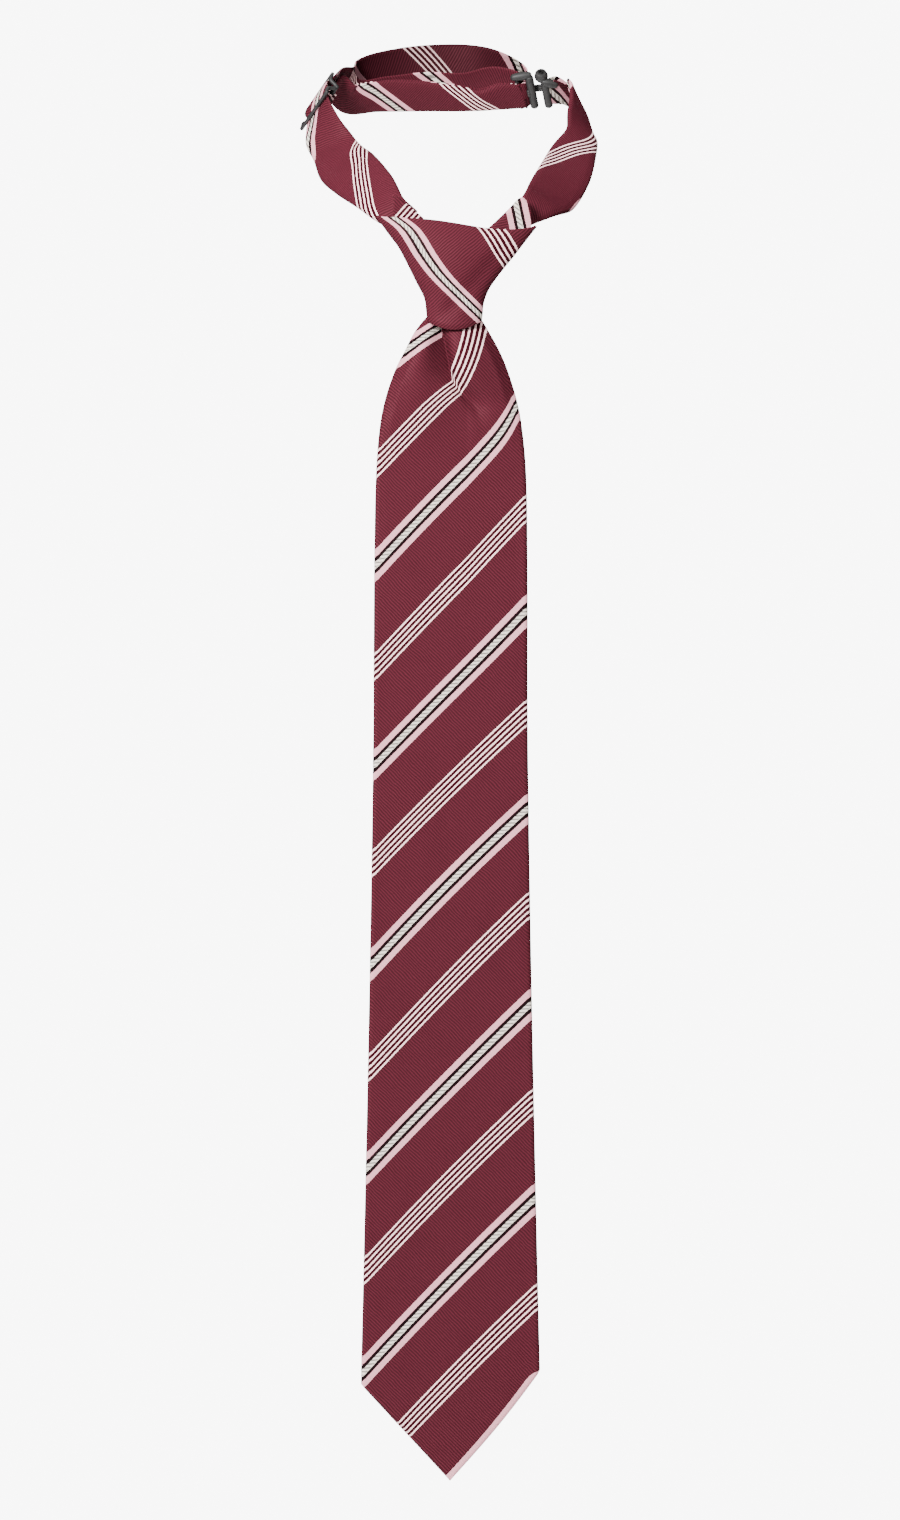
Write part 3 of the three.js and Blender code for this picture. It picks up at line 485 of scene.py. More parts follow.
def cloth_across(x, z, left, right):
    """Distance across the stripes on the blade's cloth, with the gathers' pull near the knot."""
    u = np.clip(x / HALF_UPPER, -1.2, 1.2)
    drift = -0.6 - 1.4 * smooth((-430 - z) / 90) - 0.5 * math.cos((z + 242) / 28.6)
    plain = (x - z) / math.sqrt(2) + 1.175 - 0.8 * u ** 2 + drift
    side = smooth((x - crease_x(z)) / 1.6 + 0.5)
    share = np.clip((x - crease_x(z)) / (right - crease_x(z)), 0, 1)
    pull_left = -8.6 * np.clip(1 - (-80 - z) / 38, 0, 1.2) ** 1.5 * (1 - 0.35 * np.clip(np.abs(u), 0, 1))
    pull_right = 11 * np.clip(1 - (-82 - z) / 28, 0, 1.4) ** 1.4 + 1.6 * share * smooth((z + 260) / 90)
    pull_right = pull_right + 5 * share ** 3 * math.exp(-((z + 117) / 22) ** 2)
    across = plain + pull_left * (1 - side) + pull_right * side
    # Along the right edge of the point the pattern is drawn to the edge, so that a pink strip ends it.
    inward = (right - x) * 0.765
    edge = smooth((RIGHT_CORNER + 5 - z) / 8) * smooth((10 - inward) / 8)
    return across * (1 - edge) + (6 * PERIOD + 44.5 - 0.8 * inward) * edge


def hem_gap(z):
    half = np.minimum(-blade_edge(z, -1), blade_edge(z, 1))
    opening = np.clip((SEAM_END - z) / 60, 0, 1)
    return np.maximum(0.4, opening * (half - HEM))


def blade_rows():
    top = np.linspace(BLADE_NECK_TOP, -165, 84)
    middle = np.linspace(-165, SEAM_END, 62)[1:]
    lower = np.linspace(SEAM_END, TIP + 0.3, 62)[1:]
    return np.concatenate([top, middle, lower])


def blade_section(z, fronts, backs, folds):
    """Points of the C-shaped section at one level, from the back seam round the front to the seam."""
    left = float(blade_edge(z, -1))
    right = float(blade_edge(z, 1))
    gap = float(hem_gap(z))
    back = BACK - 2.2 * float(smooth((z + 84) / 7))
    radius = min((back - FRONT) / 2, (right - left) / 5)
    middle = (left + right) / 2
    gap = min(gap, (right - left) / 2 - radius - 0.1)
    points, across = [], []
    turn = np.linspace(0, math.pi, folds + 2)[1:-1]
    y_mid = (FRONT + back) / 2
    depth = (back - FRONT) / 2

    def add(x, y, spread):
        points.append((x, y, z))
        across.append(spread)

    for x in np.linspace(middle - gap, left + radius, backs):
        add(x, back, 2 * left - x)
    for angle in turn:
        add(left + radius - radius * math.sin(angle), y_mid + depth * math.cos(angle),
            left + radius * (angle / math.pi) * 2 - radius)
    span = np.linspace(left + radius, right - radius, fronts)
    forward = blade_forward(span, z, left, right)
    for x, out in zip(span, forward):
        add(x, FRONT - out, x)
    for angle in turn:
        add(right - radius + radius * math.sin(angle), y_mid - depth * math.cos(angle),
            right - radius + radius * (angle / math.pi) * 2)
    for x in np.linspace(right - radius, middle + gap, backs):
        add(x, back, 2 * right - x)
    points = np.array(points)
    spread = np.array(across)
    s = cloth_across(spread, z, left, right)
    t = -(spread + z) / math.sqrt(2)
    return points, np.stack([s, t], axis=1)


def build_blade():
    rows = blade_rows()
    made = [blade_section(z, 122, 12, 7) for z in rows]
    outer = np.array([points for points, _ in made])
    uv = np.array([pair for _, pair in made])
    shell = cloth_piece("blade_cloth", outer, uv, CLOTH, SILK, "striped_silk", nodes=["blade_shell"])
    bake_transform(shell)

    levels = np.concatenate([np.linspace(BLADE_TOP - 1, -165, 40), np.linspace(-170, TIP + 12, 60)])
    front, wool_uv = [], []
    for z in levels:
        left = float(blade_edge(z, -1)) + 1.4
        right = float(blade_edge(z, 1)) - 1.4
        x = np.linspace(left, right, 44)
        out = blade_forward(x, z, left, right)
        padded = np.pad(out, 4, mode="edge")
        out = np.min([padded[k:k + 44] for k in range(9)], axis=0)
        front.append(np.stack([x, FRONT - out + CLOTH + 0.3, np.full(44, z)], axis=1))
        wool_uv.append(np.stack([x, np.full(44, z)], axis=1))
    back_gap = np.array(front)[:, :, 1]
    wall = np.clip(BACK - 1.0 - back_gap, 0.6, 1.3)[:, :, None]
    wool = cloth_piece("blade_wool", np.array(front), np.array(wool_uv), wall, WOOL_CLOTH,
                       "interlining", nodes=["blade_interlining"])
    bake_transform(wool)


def build_tipping():
    top = SEAM_END + 14
    bottom = TIP + 10
    side = HALF_LOWER - 5.5
    left_points = [(bottom, -0.6), (LEFT_CORNER - 1, -side), (LEFT_CORNER + 18, -side), (top, -0.6)]
    right_points = [(bottom, 0.6), (RIGHT_CORNER - 1, side), (RIGHT_CORNER + 18, side), (top, 0.6)]
    rows, uv = [], []
    for z in np.linspace(top, bottom, 90):
        left = np.interp(z, *zip(*left_points))
        right = np.interp(z, *zip(*right_points))
        x = np.linspace(left, right, 40)
        rim = smooth(np.minimum(x - left, right - x) / 4)
        y = BACK + 0.55 + 0.35 * rim + 0.12 * np.sin(z / 9 + x / 7) * rim
        rows.append(np.stack([x, y, np.full(40, z)], axis=1))
        uv.append(np.stack([x, np.full(40, z)], axis=1))
    piece = cloth_piece("tip_lining", np.array(rows), np.array(uv), 0.4, LINING_CLOTH,
                        "tipping_lining", flip=True, body="blade", nodes=["blade_tipping"])


def build_slip_stitch():
    path, pitch = [], 6
    count = int((SEAM_START - SEAM_END - 22) / pitch)
    for i in range(count + 1):
        z = SEAM_START - 2 - i * pitch
        side = 1.0 if i % 2 == 0 else -1.0
        path += [(side * 1.15, BACK + 0.30, z + 0.9), (side * 1.2, BACK + 0.55, z - 0.6)]
    solid_piece("slip_stitch_thread", [tube(catmull(path, 3), 0.22, 8)], SEWING, "sewing_thread",
                body="blade", nodes=["blade_slip_stitch"])


def sewn_bar(name, node, body, centre, along, out, length, width, height=0.7):
    """A dense sewn bar: round turns of thread laid side by side."""
    centre, along, out = np.array(centre, float), unit(along), unit(out)
    side = np.cross(along, out)
    rings = []
    turns = max(4, int(length / 0.55))
    for i in range(turns * 6 + 1):
        place = i / (turns * 6)
        ridge = 0.82 + 0.18 * abs(math.sin(math.pi * place * turns))
        end = math.sqrt(max(0.06, 1 - (2 * place - 1) ** 8))
        middle = centre + along * (place - 0.5) * length
        angles = np.linspace(0, 2 * math.pi, 14, endpoint=False)
        half = width / 2 * ridge * end
        rings.append([middle + side * half * math.cos(t) + out * height / 2 * ridge * end * math.sin(t)
                      for t in angles])
    solid_piece(name, [rings], SEWING, "sewing_thread", body=body, nodes=[node])


def flat_band_rings(path, outs, half, thick, count=26):
    """Rings of a flat cloth band with rounded long edges; the width direction comes from path and outs."""
    path, outs = np.asarray(path, float), unit(outs)
    tangent = unit(np.gradient(path, axis=0))
    rings = []
    for point, direction, out in zip(path, tangent, outs):
        across = unit(np.cross(direction, out))
        up = np.cross(across, direction)
        ring = []
        for angle in np.linspace(0, 2 * math.pi, count, endpoint=False):
            c, s = math.cos(angle), math.sin(angle)
            wide = half * np.sign(c) * abs(c) ** 0.35
            high = thick * np.sign(s) * abs(s) ** 0.8
            ring.append(point + across * wide + up * high)
        rings.append(ring)
    return rings


def build_keeper():
    base = BACK + 0.75
    half = [(27, 0), (23, 0), (20, 0.6), (17.5, 3.6), (13, 5.0)]
    profile = [(-x, base + lift) for x, lift in half] + [(0, base + 5.4)]
    profile += [(x, base + lift) for x, lift in half[::-1]]
    curve = catmull(profile, 5)
    path = np.stack([curve[:, 0], curve[:, 1], np.full(len(curve), KEEPER_Z)], axis=1)
    slope = np.gradient(curve, axis=0)
    outs = np.stack([-slope[:, 1], slope[:, 0], np.zeros(len(curve))], axis=1)
    solid_piece("keeper_band", [flat_band_rings(path, outs, 7, 0.42)], SILK, "striped_silk",
                body="blade", nodes=["keeper_loop"])
    for side, word in ((-1, "left"), (1, "right")):
        sewn_bar(f"keeper_stitches_{word}", f"keeper_tack_{word}", "blade",
                 (side * 24, base + 0.55, KEEPER_Z), (0, 0, 1), (0, 1, 0), 12, 0.9)


def build_label():
    rows, uv = [], []
    for z in np.linspace(-351.5, -380.5, 30):
        x = np.linspace(6.2, 25.8, 22)
        lift = 0.35 + 0.35 * np.sin((z + 381) / 9.4) ** 2 * smooth((x - 9) / 16)
        rows.append(np.stack([x, BACK + 0.3 + lift, np.full(22, z)], axis=1))
        uv.append(np.stack([x, np.full(22, z)], axis=1))
    label = cloth_piece("label_tape_piece", np.array(rows), np.array(uv), 0.25, TAPE, "label_tape",
                        flip=True, body="blade", nodes=["care_label"])


# ---------- the knot ----------
KNOT_LEFT = [(-10.4, -79.0), (-10.8, -74.3), (-11.7, -68.5), (-15.3, -61.3), (-17.5, -56.8), (-20.2, -51.4),
             (-23.4, -45.6), (-27.6, -40.0), (-33.3, -32.1)]
KNOT_RIGHT = [(14.4, -79.0), (14.8, -75.5), (15.3, -70.7), (17.5, -64.9), (21.1, -59.5), (25.4, -54.0),
              (29.2, -49.4), (33.6, -43.6), (39.1, -36.6)]
# Where the rope stripe runs over the knot, as (height, distance to the right).
KNOT_CENTRE_LINE = [(-32.1, -26.1), (-38.8, -18.2), (-50.5, -10.8), (-60.0, -3.6), (-70.7, 7.2),
                    (-77.5, 14.4), (-88, 26)]
KNOT_FRONT = [5.6, 5.9, 6.3, 7.0, 7.5, 7.9, 8.0, 7.4, 5.6]
KNOT_BACK = [7.0, 6.8, 6.5, 6.2, 5.8, 5.2, 4.6, 3.9, 3.0]
KNOT_AXIS = -60.4


def knot_stripe(x, z):
    """Stripe coordinates on the knot's front."""
    lines = np.array(KNOT_CENTRE_LINE[::-1])
    smooth_line = catmull(lines, 6)
    middle = np.interp(z, smooth_line[:, 0], smooth_line[:, 1])
    offset = x - middle
    across = ROPE_CENTRE + 0.98 * offset - 0.0037 * offset * np.abs(offset)
    along = 0.64 * x - 0.77 * z
    return across, along


def build_knot():
    steps = 9
    left = catmull(KNOT_LEFT, steps)
    right = catmull(KNOT_RIGHT, steps)
    depths = catmull(np.stack([KNOT_FRONT, KNOT_BACK], axis=1), steps)
    count = len(left)
    around = 132
    angles = np.linspace(0, 2 * math.pi, around + 1)
    outer, uv = [], []
    for i in range(count):
        level = i / (count - 1)
        u = (1 - np.cos(angles)) / 2
        front = np.sin(angles) > 0
        x = left[i, 0] + u * (right[i, 0] - left[i, 0])
        z = left[i, 1] + u * (right[i, 1] - left[i, 1])
        mouth = 4.3 * (1 - level) ** 3 * (1 - (2 * u - 1) ** 2)
        dip = np.clip((u - 0.3) / 0.7, 0, 1) ** 1.6
        top = 2.5 * level ** 4 * np.sin(math.pi * dip)
        z = z - mouth - top
        bulge = np.abs(np.sin(angles)) ** np.where(front, 0.8, 1.0)
        y = KNOT_AXIS + np.where(front, -depths[i, 0], depths[i, 1]) * bulge
        fold = np.exp(-((x - 20 - 0.9 * (z + 52)) / 5.0) ** 2) * smooth(level * 4) * smooth((1 - level) * 5)
        y = y + np.where(front, 0.9 * fold, 0)
        lip = smooth((0.05 - level) / 0.05)
        y = y + np.where(front, 0.7, -0.7) * lip * bulge
        virtual = np.where(front, x, np.where(u < 0.5, 2 * left[i, 0] - x, 2 * right[i, 0] - x))
        s, t = knot_stripe(virtual, z)
        outer.append(np.stack([x, y, z], axis=1)[:-1])
        uv.append(np.stack([s, t], axis=1))
    wrap = cloth_piece("knot_cloth", np.array(outer), np.array(uv), 1.1, SILK, "striped_silk",
                       closed=True, flip=True, body="neckband", nodes=["knot_wrap"])

    # The blade's gathered neck: soft pleats that fill the sleeve.
    rings = []
    for i in range(2, count - 16, 2):
        ring = []
        for angle in np.linspace(0, 2 * math.pi, 72, endpoint=False):
            u = (1 - math.cos(angle)) / 2
            pleat = 0.35 * math.sin(11 * angle) * abs(math.sin(angle))
            middle = (left[i, 0] + right[i, 0]) / 2
            half = (right[i, 0] - left[i, 0]) / 2 * 0.84 - 2
            deep = (depths[i, 0] if math.sin(angle) > 0 else depths[i, 1]) - 2.2 + pleat
            x = middle - math.cos(angle) * half
            mouth = 3.5 * (1 - i / count) ** 3 * (1 - (2 * u - 1) ** 2)
            z = left[i, 1] + u * (right[i, 1] - left[i, 1]) - mouth
            ring.append((x, KNOT_AXIS - math.sin(angle) * deep, z))
        rings.append(ring)
    solid_piece("knot_core", [rings], SILK, "striped_silk", body="neckband", nodes=["blade_neck"])
    sewn_bar("knot_back_stitches", "knot_back_tack", "neckband", (4.5, -53.3, -62),
             (1, 0, 0), (0, 1, 0), 9, 2.0, 0.9)


def fold_patch(name, node, edge, y_front, y_back, stripe):
    """Cloth folded over a top edge of (x, z, drop): down the front, over the edge, down the back."""
    edge = catmull(edge, 8)
    middle, half = (y_front + y_back) / 2, (y_back - y_front) / 2
    columns, uv = [], []
    angle, at_x, at_z, phase = stripe
    turn = math.radians(angle)
    for x, z, drop in edge:
        column, pairs = [], []
        profile = [(-half, -drop * (1 - k / 8)) for k in range(8)]
        profile += [(half * -math.cos(a), half * math.sin(a) * 0.9) for a in np.linspace(0, math.pi, 12)]
        profile += [(half, -drop * (k / 8)) for k in range(1, 9)]
        for k, (out, down) in enumerate(profile):
            low = z - half * 0.9 + down
            column.append((x, middle + out, low))
            mirrored = low if out < 0.01 else 2 * z - low
            s = (x - at_x) * math.cos(turn) + (mirrored - at_z) * math.sin(turn) + phase
            t = -(x - at_x) * math.sin(turn) + (mirrored - at_z) * math.cos(turn)
            pairs.append((s, t))
        columns.append(column)
        uv.append(pairs)
    return cloth_piece(name, np.array(columns), np.array(uv), 0.7, SILK, "striped_silk",
                       body="neckband", nodes=[node])


def build_tucks():
    edge = [(-25.5, -21.6, 8), (-21, -24.6, 8), (-16.6, -28.2, 8), (-12.0, -32.2, 8)]
    stripe = (-42, -17.0, -29.0, FIVE_CENTRE)
    left = fold_patch("tuck_cloth_left", "knot_tuck_left", edge, -57.2, -53.6, stripe)
    edge = [(16.5, -37.5, 9), (21, -33.4, 10), (26.2, -28.4, 11.5), (31.4, -23.2, 14), (34.4, -24.4, 13),
            (36.4, -28.5, 8.5)]
    stripe = (12, 30.5, -31.0, ROPE_CENTRE)
    right = fold_patch("tuck_cloth_right", "knot_tuck_right", edge, -58.4, -54.2, stripe)


# ---------- the neck loop ----------
SLIDER_POINT = np.array([-60.2, 29, 27.9])
STRAP_RUN = unit([0.177, 0.714, 0.677])
ROUGHLY_ACROSS = np.array([0.459, -0.672, 0.581])
SLIDER_ACROSS = unit(ROUGHLY_ACROSS - STRAP_RUN * ROUGHLY_ACROSS.dot(STRAP_RUN))
SLIDER_INWARD = unit(np.cross(STRAP_RUN, SLIDER_ACROSS))
SLIDER_OUT = -SLIDER_INWARD
ARC_RADIUS = 55
ARC_CENTRE = SLIDER_POINT + SLIDER_INWARD * ARC_RADIUS
EYE_BAR = np.array([38.1, 47, 34.8])
CLASP_UP = unit([-0.18, -0.56, 0.81])
CLASP_ALONG = unit(np.array([1, 0, 0]) - CLASP_UP * CLASP_UP[0])
CLASP_OUT = unit(np.cross(CLASP_UP, CLASP_ALONG))
EYE_REACH = 6                  # from the front bar to the strap bar
HOOK_REACH = 5.5
EYE_STRAP_BAR = EYE_BAR - CLASP_ALONG * EYE_REACH
HOOK_FRONT_BAR = EYE_BAR + CLASP_ALONG * 6.6 - CLASP_UP * 1.2
HOOK_STRAP_BAR = HOOK_FRONT_BAR + CLASP_ALONG * HOOK_REACH
CLASP_WIRE = 1.9
CLASP_SOLID = 1.95             # radius of the cast front bars
SLIDER_LENGTH = 15.7
SLIDER_WIDTH = 26.7
SLIDER_WIRE = 1.3
TAB_BAR = -2.4                 # the slider's centre bar lies this far inside the strap's curve
LOOP_UP = np.array([0, -0.574, 0.819])


def arc_point(degrees, outward):
    angle = math.radians(degrees)
    radius = ARC_RADIUS + outward
    return ARC_CENTRE - SLIDER_INWARD * radius * math.cos(angle) + STRAP_RUN * radius * math.sin(angle)


def station(centre, across, half, thick=1.2, gape=0.0, rise=0.0, drop=0.0, back=0.0, front=0.0):
    """One section of folded strap, as a flat row of numbers that can be eased between."""
    return [*centre, *across, half, thick, gape, rise, drop, back, front]


def slanted(run, rise, phase):
    """Stripe coordinates on a strap: run is the change per step along it, rise per step over it."""
    return lambda ell, wide: (run * ell + rise * wide + phase, -rise * ell + run * wide)


def folded_slant(ell, wide):
    """The long strap: one slant on the left band, the other on the back run and on its front wall.

    The pattern is eased where the strap turns and near the clasp, so it isn't one true cut.
    """
    turned = smooth((ell - 112) / 38)
    s = 8.4 + 0.45 * ell - 4 * smooth((ell - 50) / 28) + (0.9 - 1.5 * turned) * wide
    s = s + turned * (28.5 + 0.323 * (ell - 150))
    near_clasp = 0.32 * np.maximum(ell - 212, 0) + 15 * smooth((ell - 213) / 20)
    s = s + turned * smooth(wide + 0.5) * (32.1 - near_clasp + 1.5 * wide)
    return s, -0.9 * ell + (0.45 - 0.9 * turned) * wide


def strap_surface(stations, steps, stripe, sides=22):
    """Outer face of a strap folded in two: from the back edge, round the fold, to the front edge."""
    rows = catmull(stations, steps)
    centre = rows[:, 0:3]
    tangent = unit(np.gradient(centre, axis=0))
    across = rows[:, 3:6]
    across = unit(across - tangent * np.sum(across * tangent, axis=1, keepdims=True))
    out = unit(np.cross(across, tangent))
    length = np.concatenate([[0], np.cumsum(np.linalg.norm(np.diff(centre, axis=0), axis=1))])
    half, thick, opened, rise, drop, back, front = (rows[:, k:k + 1] for k in range(6, 13))
    back_wall = -(np.linspace(1, 0, sides, endpoint=False) ** 1.25)
    front_wall = np.linspace(0, 1, sides + 1) ** 1.25
    v = np.concatenate([back_wall, front_wall])[None, :]
    size = np.abs(v)
    top = np.where(v < 0, half + opened * rise, half - opened * drop)
    along = -half + (top + half) * size
    fold = np.sqrt(1 - (1 - np.clip(size / 0.1, 0, 1)) ** 2)
    pillow = 1 + 0.3 * np.sin(math.pi * size) * (1 - opened)
    closing = 1 - 0.55 * smooth((size - 0.86) / 0.14) * (1 - opened)
    spread = np.where(v < 0, back, front) * opened * size ** 0.9
    ripple = 0.22 * np.sin(length[:, None] / 6.3 + 4 * v) * np.sin(length[:, None] / 17)
    ripple = ripple * (1 - np.exp(-thick / 2))
    away = -np.sign(v) * (thick * fold * pillow * closing + spread + ripple * size)
    points = centre[:, None, :] + across[:, None, :] * along[..., None] + out[:, None, :] * away[..., None]
    wide = v * (top + half)
    s, t = stripe(length[:, None] + 0 * wide, wide)
    walls = np.clip(thick - 0.08, 0.3, 0.7) + 0 * wide
    return points, np.stack([s, t], axis=2), walls[..., None]


def left_stations():
    made = [
        station((-17.5, -52.6, -33.5), (0.8, -0.1, 0.58), 5.5, 1.3),
        station((-27.2, -49.8, -27.6), (0.82, -0.2, 0.5), 8.2, 1.5),
        station((-34.6, -38.5, -18.6), (0.84, -0.35, 0.42), 10.8),
        station((-43.0, -21, -9.8), (0.78, -0.45, 0.43), 12.4),
        station((-49.3, -4.5, -3.4), (0.82, -0.44, 0.36), 12.3),
        station((-53.6, 9.0, 4.7), (0.86, -0.37, 0.34), 10.9, 0.9),
        station((-58.8, 15.7, 13.3), (0.72, -0.52, 0.45), 10.9, 0.6),
        station(arc_point(-9, 0), (0.50, -0.655, 0.565), 10.8, 0.5),
    ]
    for degrees, outward in ((-3.5, 0.2), (2.2, 2.4), (8, 0.3), (18, 0)):
        made.append(station(arc_point(degrees, outward), SLIDER_ACROSS, 10.8, 0.5))
    return made


def outer_run_stations():
    opened = dict(gape=1.0, rise=2.5, drop=9.5, back=5.0, front=6.0, thick=0.9)
    return [
        station((-46, 53.6, 37.6), (0.25, -0.5, 0.83), 10.2, **{**opened, "gape": 0.45, "thick": 0.7}),
        station((-31, 60.5, 41.4), (0.1, -0.3, 0.95), 10.6, **{**opened, "gape": 0.8}),
        station((-12, 63.4, 44.4), (0, -0.16, 0.98), 10.8, **opened),
        station((8, 62.6, 44.6), (0, -0.2, 0.97), 10.6, **opened),
        station((23, 58.2, 42.4), (-0.06, -0.36, 0.93), 9.6, **{**opened, "gape": 0.6, "drop": 5.0}),
        station((34.5, 53.2, 37.2), (-0.1, -0.46, 0.88), 8.4, **{**opened, "gape": 0.2, "drop": 3.0}),
    ]


def turn_stations(start, end):
    """The strap turns back round the eye's strap bar in a loose loop that reaches the hooked bar."""
    radius = CLASP_WIRE / 2 + 0.3 + 0.7
    made = []
    for degrees in range(start, end - 1, -30):
        angle = math.radians(degrees)
        centre = EYE_STRAP_BAR + CLASP_ALONG * (radius + 1.6) * math.cos(angle)
        centre = centre + CLASP_OUT * radius * math.sin(angle)
        made.append(station(centre - 0.4 * CLASP_UP, CLASP_UP, 6.4, 0.7))
    return made


def inner_run_stations():
    return [
        station((24, 47.0, 32.6), LOOP_UP, 6.9, 1.3),
        station((14, 47.6, 31.0), LOOP_UP, 5.6, 1.5),
        station((4, 47.8, 31.8), LOOP_UP, 6.9, 1.3),
        station((-10, 48, 32.6), LOOP_UP, 7.8),
        station((-24, 47.8, 33.0), LOOP_UP, 8.4, 1.3),
        station((-35, 47.0, 32.4), (0.07, -0.574, 0.819), 8.1),
        station((-46.5, 44.8, 31.2), (0.2, -0.6, 0.78), 8.2),
        station(arc_point(17.4, -2.4), SLIDER_ACROSS, 7.8, 0.6),
        station(arc_point(9.0, -2.5), SLIDER_ACROSS, 7.9, 0.55),
    ]


def right_stations():
    return [
        station((30.5, -50.0, -33.0), (0.66, 0.1, -0.7), 4.5, 1.2),
        station((39.6, -45.4, -25.2), (0.8, 0.22, -0.5), 8.2, 1.4),
        station((46, -31, -20), (0.82, 0.35, -0.3), 11.6),
        station((52.0, -13, -9.6), (0.88, 0.33, -0.2), 12.0),
        station((56.2, 4, 0.6), (0.93, 0.32, -0.14), 10.9),
        station((60.6, 17.5, 10.4), (0.85, 0.42, -0.3), 8.5),
        station((60.3, 27.4, 18.4), (0.66, 0.5, -0.54), 8.9),
        station((59.9, 34.6, 25.4), (0.5, 0.55, -0.66), 8.6),
        station((58.4, 40.6, 32.0), (0.36, 0.58, -0.72), 7.8, 0.9),
        station((55.6, 44.6, 36.4), (0.25, 0.6, -0.75), 6.4, 0.7),
    ]


def right_slant(ell, wide):
    return 0.4 * ell + 0.92 * wide - 5.7 + 12 * (1 - smooth(ell / 48)), -0.92 * ell + 0.4 * wide


def build_straps():
    stations = left_stations() + outer_run_stations() + turn_stations(90, 30)
    points, uv, walls = strap_surface(stations, 12, folded_slant)
    strap = cloth_piece("strap_cloth", points, uv, walls, SILK, "striped_silk",
                        body="neckband", nodes=["neck_strap"])

    stations = turn_stations(60, -90) + inner_run_stations()
    points, uv, walls = strap_surface(stations, 10, slanted(0.8, 0.95, -1.6))
    inner = cloth_piece("strap_end_cloth", points, uv, walls, SILK, "striped_silk")
    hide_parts("neck_strap")
    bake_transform(inner)

    points, uv, walls = strap_surface(right_stations(), 12, right_slant)
    right = cloth_piece("right_band_cloth", points, uv, walls, SILK, "striped_silk", nodes=["right_band"])
    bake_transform(right)


def rolled_end(name, node, body, bar, run, out, width, bar_radius, reach, stripe, loose=1.0, sag=0.0):
    """Cloth rolled round a bar with both layers running off along run; a loose roll stands off the bar."""
    axis = unit(np.cross(run, out))
    gap, layer = 0.28, 0.55
    outer_radius = bar_radius + gap + layer
    flat_out = layer + 0.1
    spread = outer_radius - flat_out
    profile = [(reach * (1 - k / 8), flat_out + spread * smooth(k / 8)) for k in range(8)]
    profile += [(outer_radius * loose * math.cos(a), outer_radius * math.sin(a))
                for a in np.linspace(math.pi / 2, 1.5 * math.pi, 14)]
    profile += [(reach * (k / 8), -flat_out - spread * smooth(1 - k / 8)) for k in range(1, 9)]
    profile = np.array(profile)
    step = np.concatenate([[0], np.cumsum(np.linalg.norm(np.diff(profile, axis=0), axis=1))])
    rows, uv = [], []
    for place in np.linspace(-width / 2, width / 2, 30):
        rows.append([bar + run * a + out * b + axis * place - CLASP_UP * sag * (max(a, 0) / reach) ** 1.3
                     for a, b in profile])
        uv.append(np.stack(stripe(place + 0 * step, step), axis=1))
    return cloth_piece(name, np.array(rows), np.array(uv), layer, SILK, "striped_silk",
                       body=body, nodes=[node])


def build_ends():
    tab = rolled_end("strap_tab_cloth", "strap_end_tab", "slider", arc_point(0, TAB_BAR),
                     STRAP_RUN, SLIDER_OUT, 16.6, SLIDER_WIRE / 2, 8, slanted(0.7, 0.7, 5.0))
    across = unit(np.cross(STRAP_RUN, SLIDER_OUT))
    sewn_bar("strap_tab_stitches", "strap_end_seam", "slider", arc_point(6.2, TAB_BAR - 1.15), across,
             SLIDER_OUT, 14, 0.7, 0.5)
    end = rolled_end("right_end_cloth", "right_band_end", "hook_end", HOOK_STRAP_BAR,
                     CLASP_ALONG, CLASP_OUT, 12.4, CLASP_WIRE / 2, 7.5, slanted(0.6, 0.8, 36.3), 2.0, 7.5)
    place = HOOK_STRAP_BAR + CLASP_ALONG * 6.6 - CLASP_OUT * 1.3 - CLASP_UP * 6.3
    sewn_bar("right_end_stitches", "right_band_end_seam", "hook_end", place,
             np.cross(CLASP_ALONG, CLASP_OUT), CLASP_OUT, 8.6, 0.7, 0.5)


# ---------- hardware ----------
def straight(a, b, count=8):
    return [np.asarray(a) + (np.asarray(b) - np.asarray(a)) * k / (count - 1) for k in range(count)]


def build_slider():
    wire = SLIDER_WIRE / 2 + 0.25
    level = 1.0 + wire
    reach = SLIDER_LENGTH / 2 - wire
    sag = reach ** 2 / (2 * ARC_RADIUS)
    half = SLIDER_WIDTH / 2

    def at(along, up, side):
        return SLIDER_POINT + STRAP_RUN * along + SLIDER_OUT * up + SLIDER_ACROSS * side

    parts = [tube(straight(at(a, up, -half + 0.3), at(a, up, half - 0.3)), wire)
             for a, up in ((-reach, level - sag), (reach, level - sag), (0, TAB_BAR))]
    for side in (-1, 1):
        place = side * (half - wire)
        half_rim = [(reach, level - sag), (reach * 0.45, level - 0.6), (1.2, TAB_BAR + 0.7)]
        rim = [at(-a, up, place) for a, up in half_rim] + [at(0, TAB_BAR, place)]
        rim += [at(a, up, place) for a, up in half_rim[::-1]]
        parts.append(tube(catmull(rim, 5), wire))
    solid_piece("slider_frame", parts, METAL, "gunmetal_hardware", body="slider", nodes=["slider"])


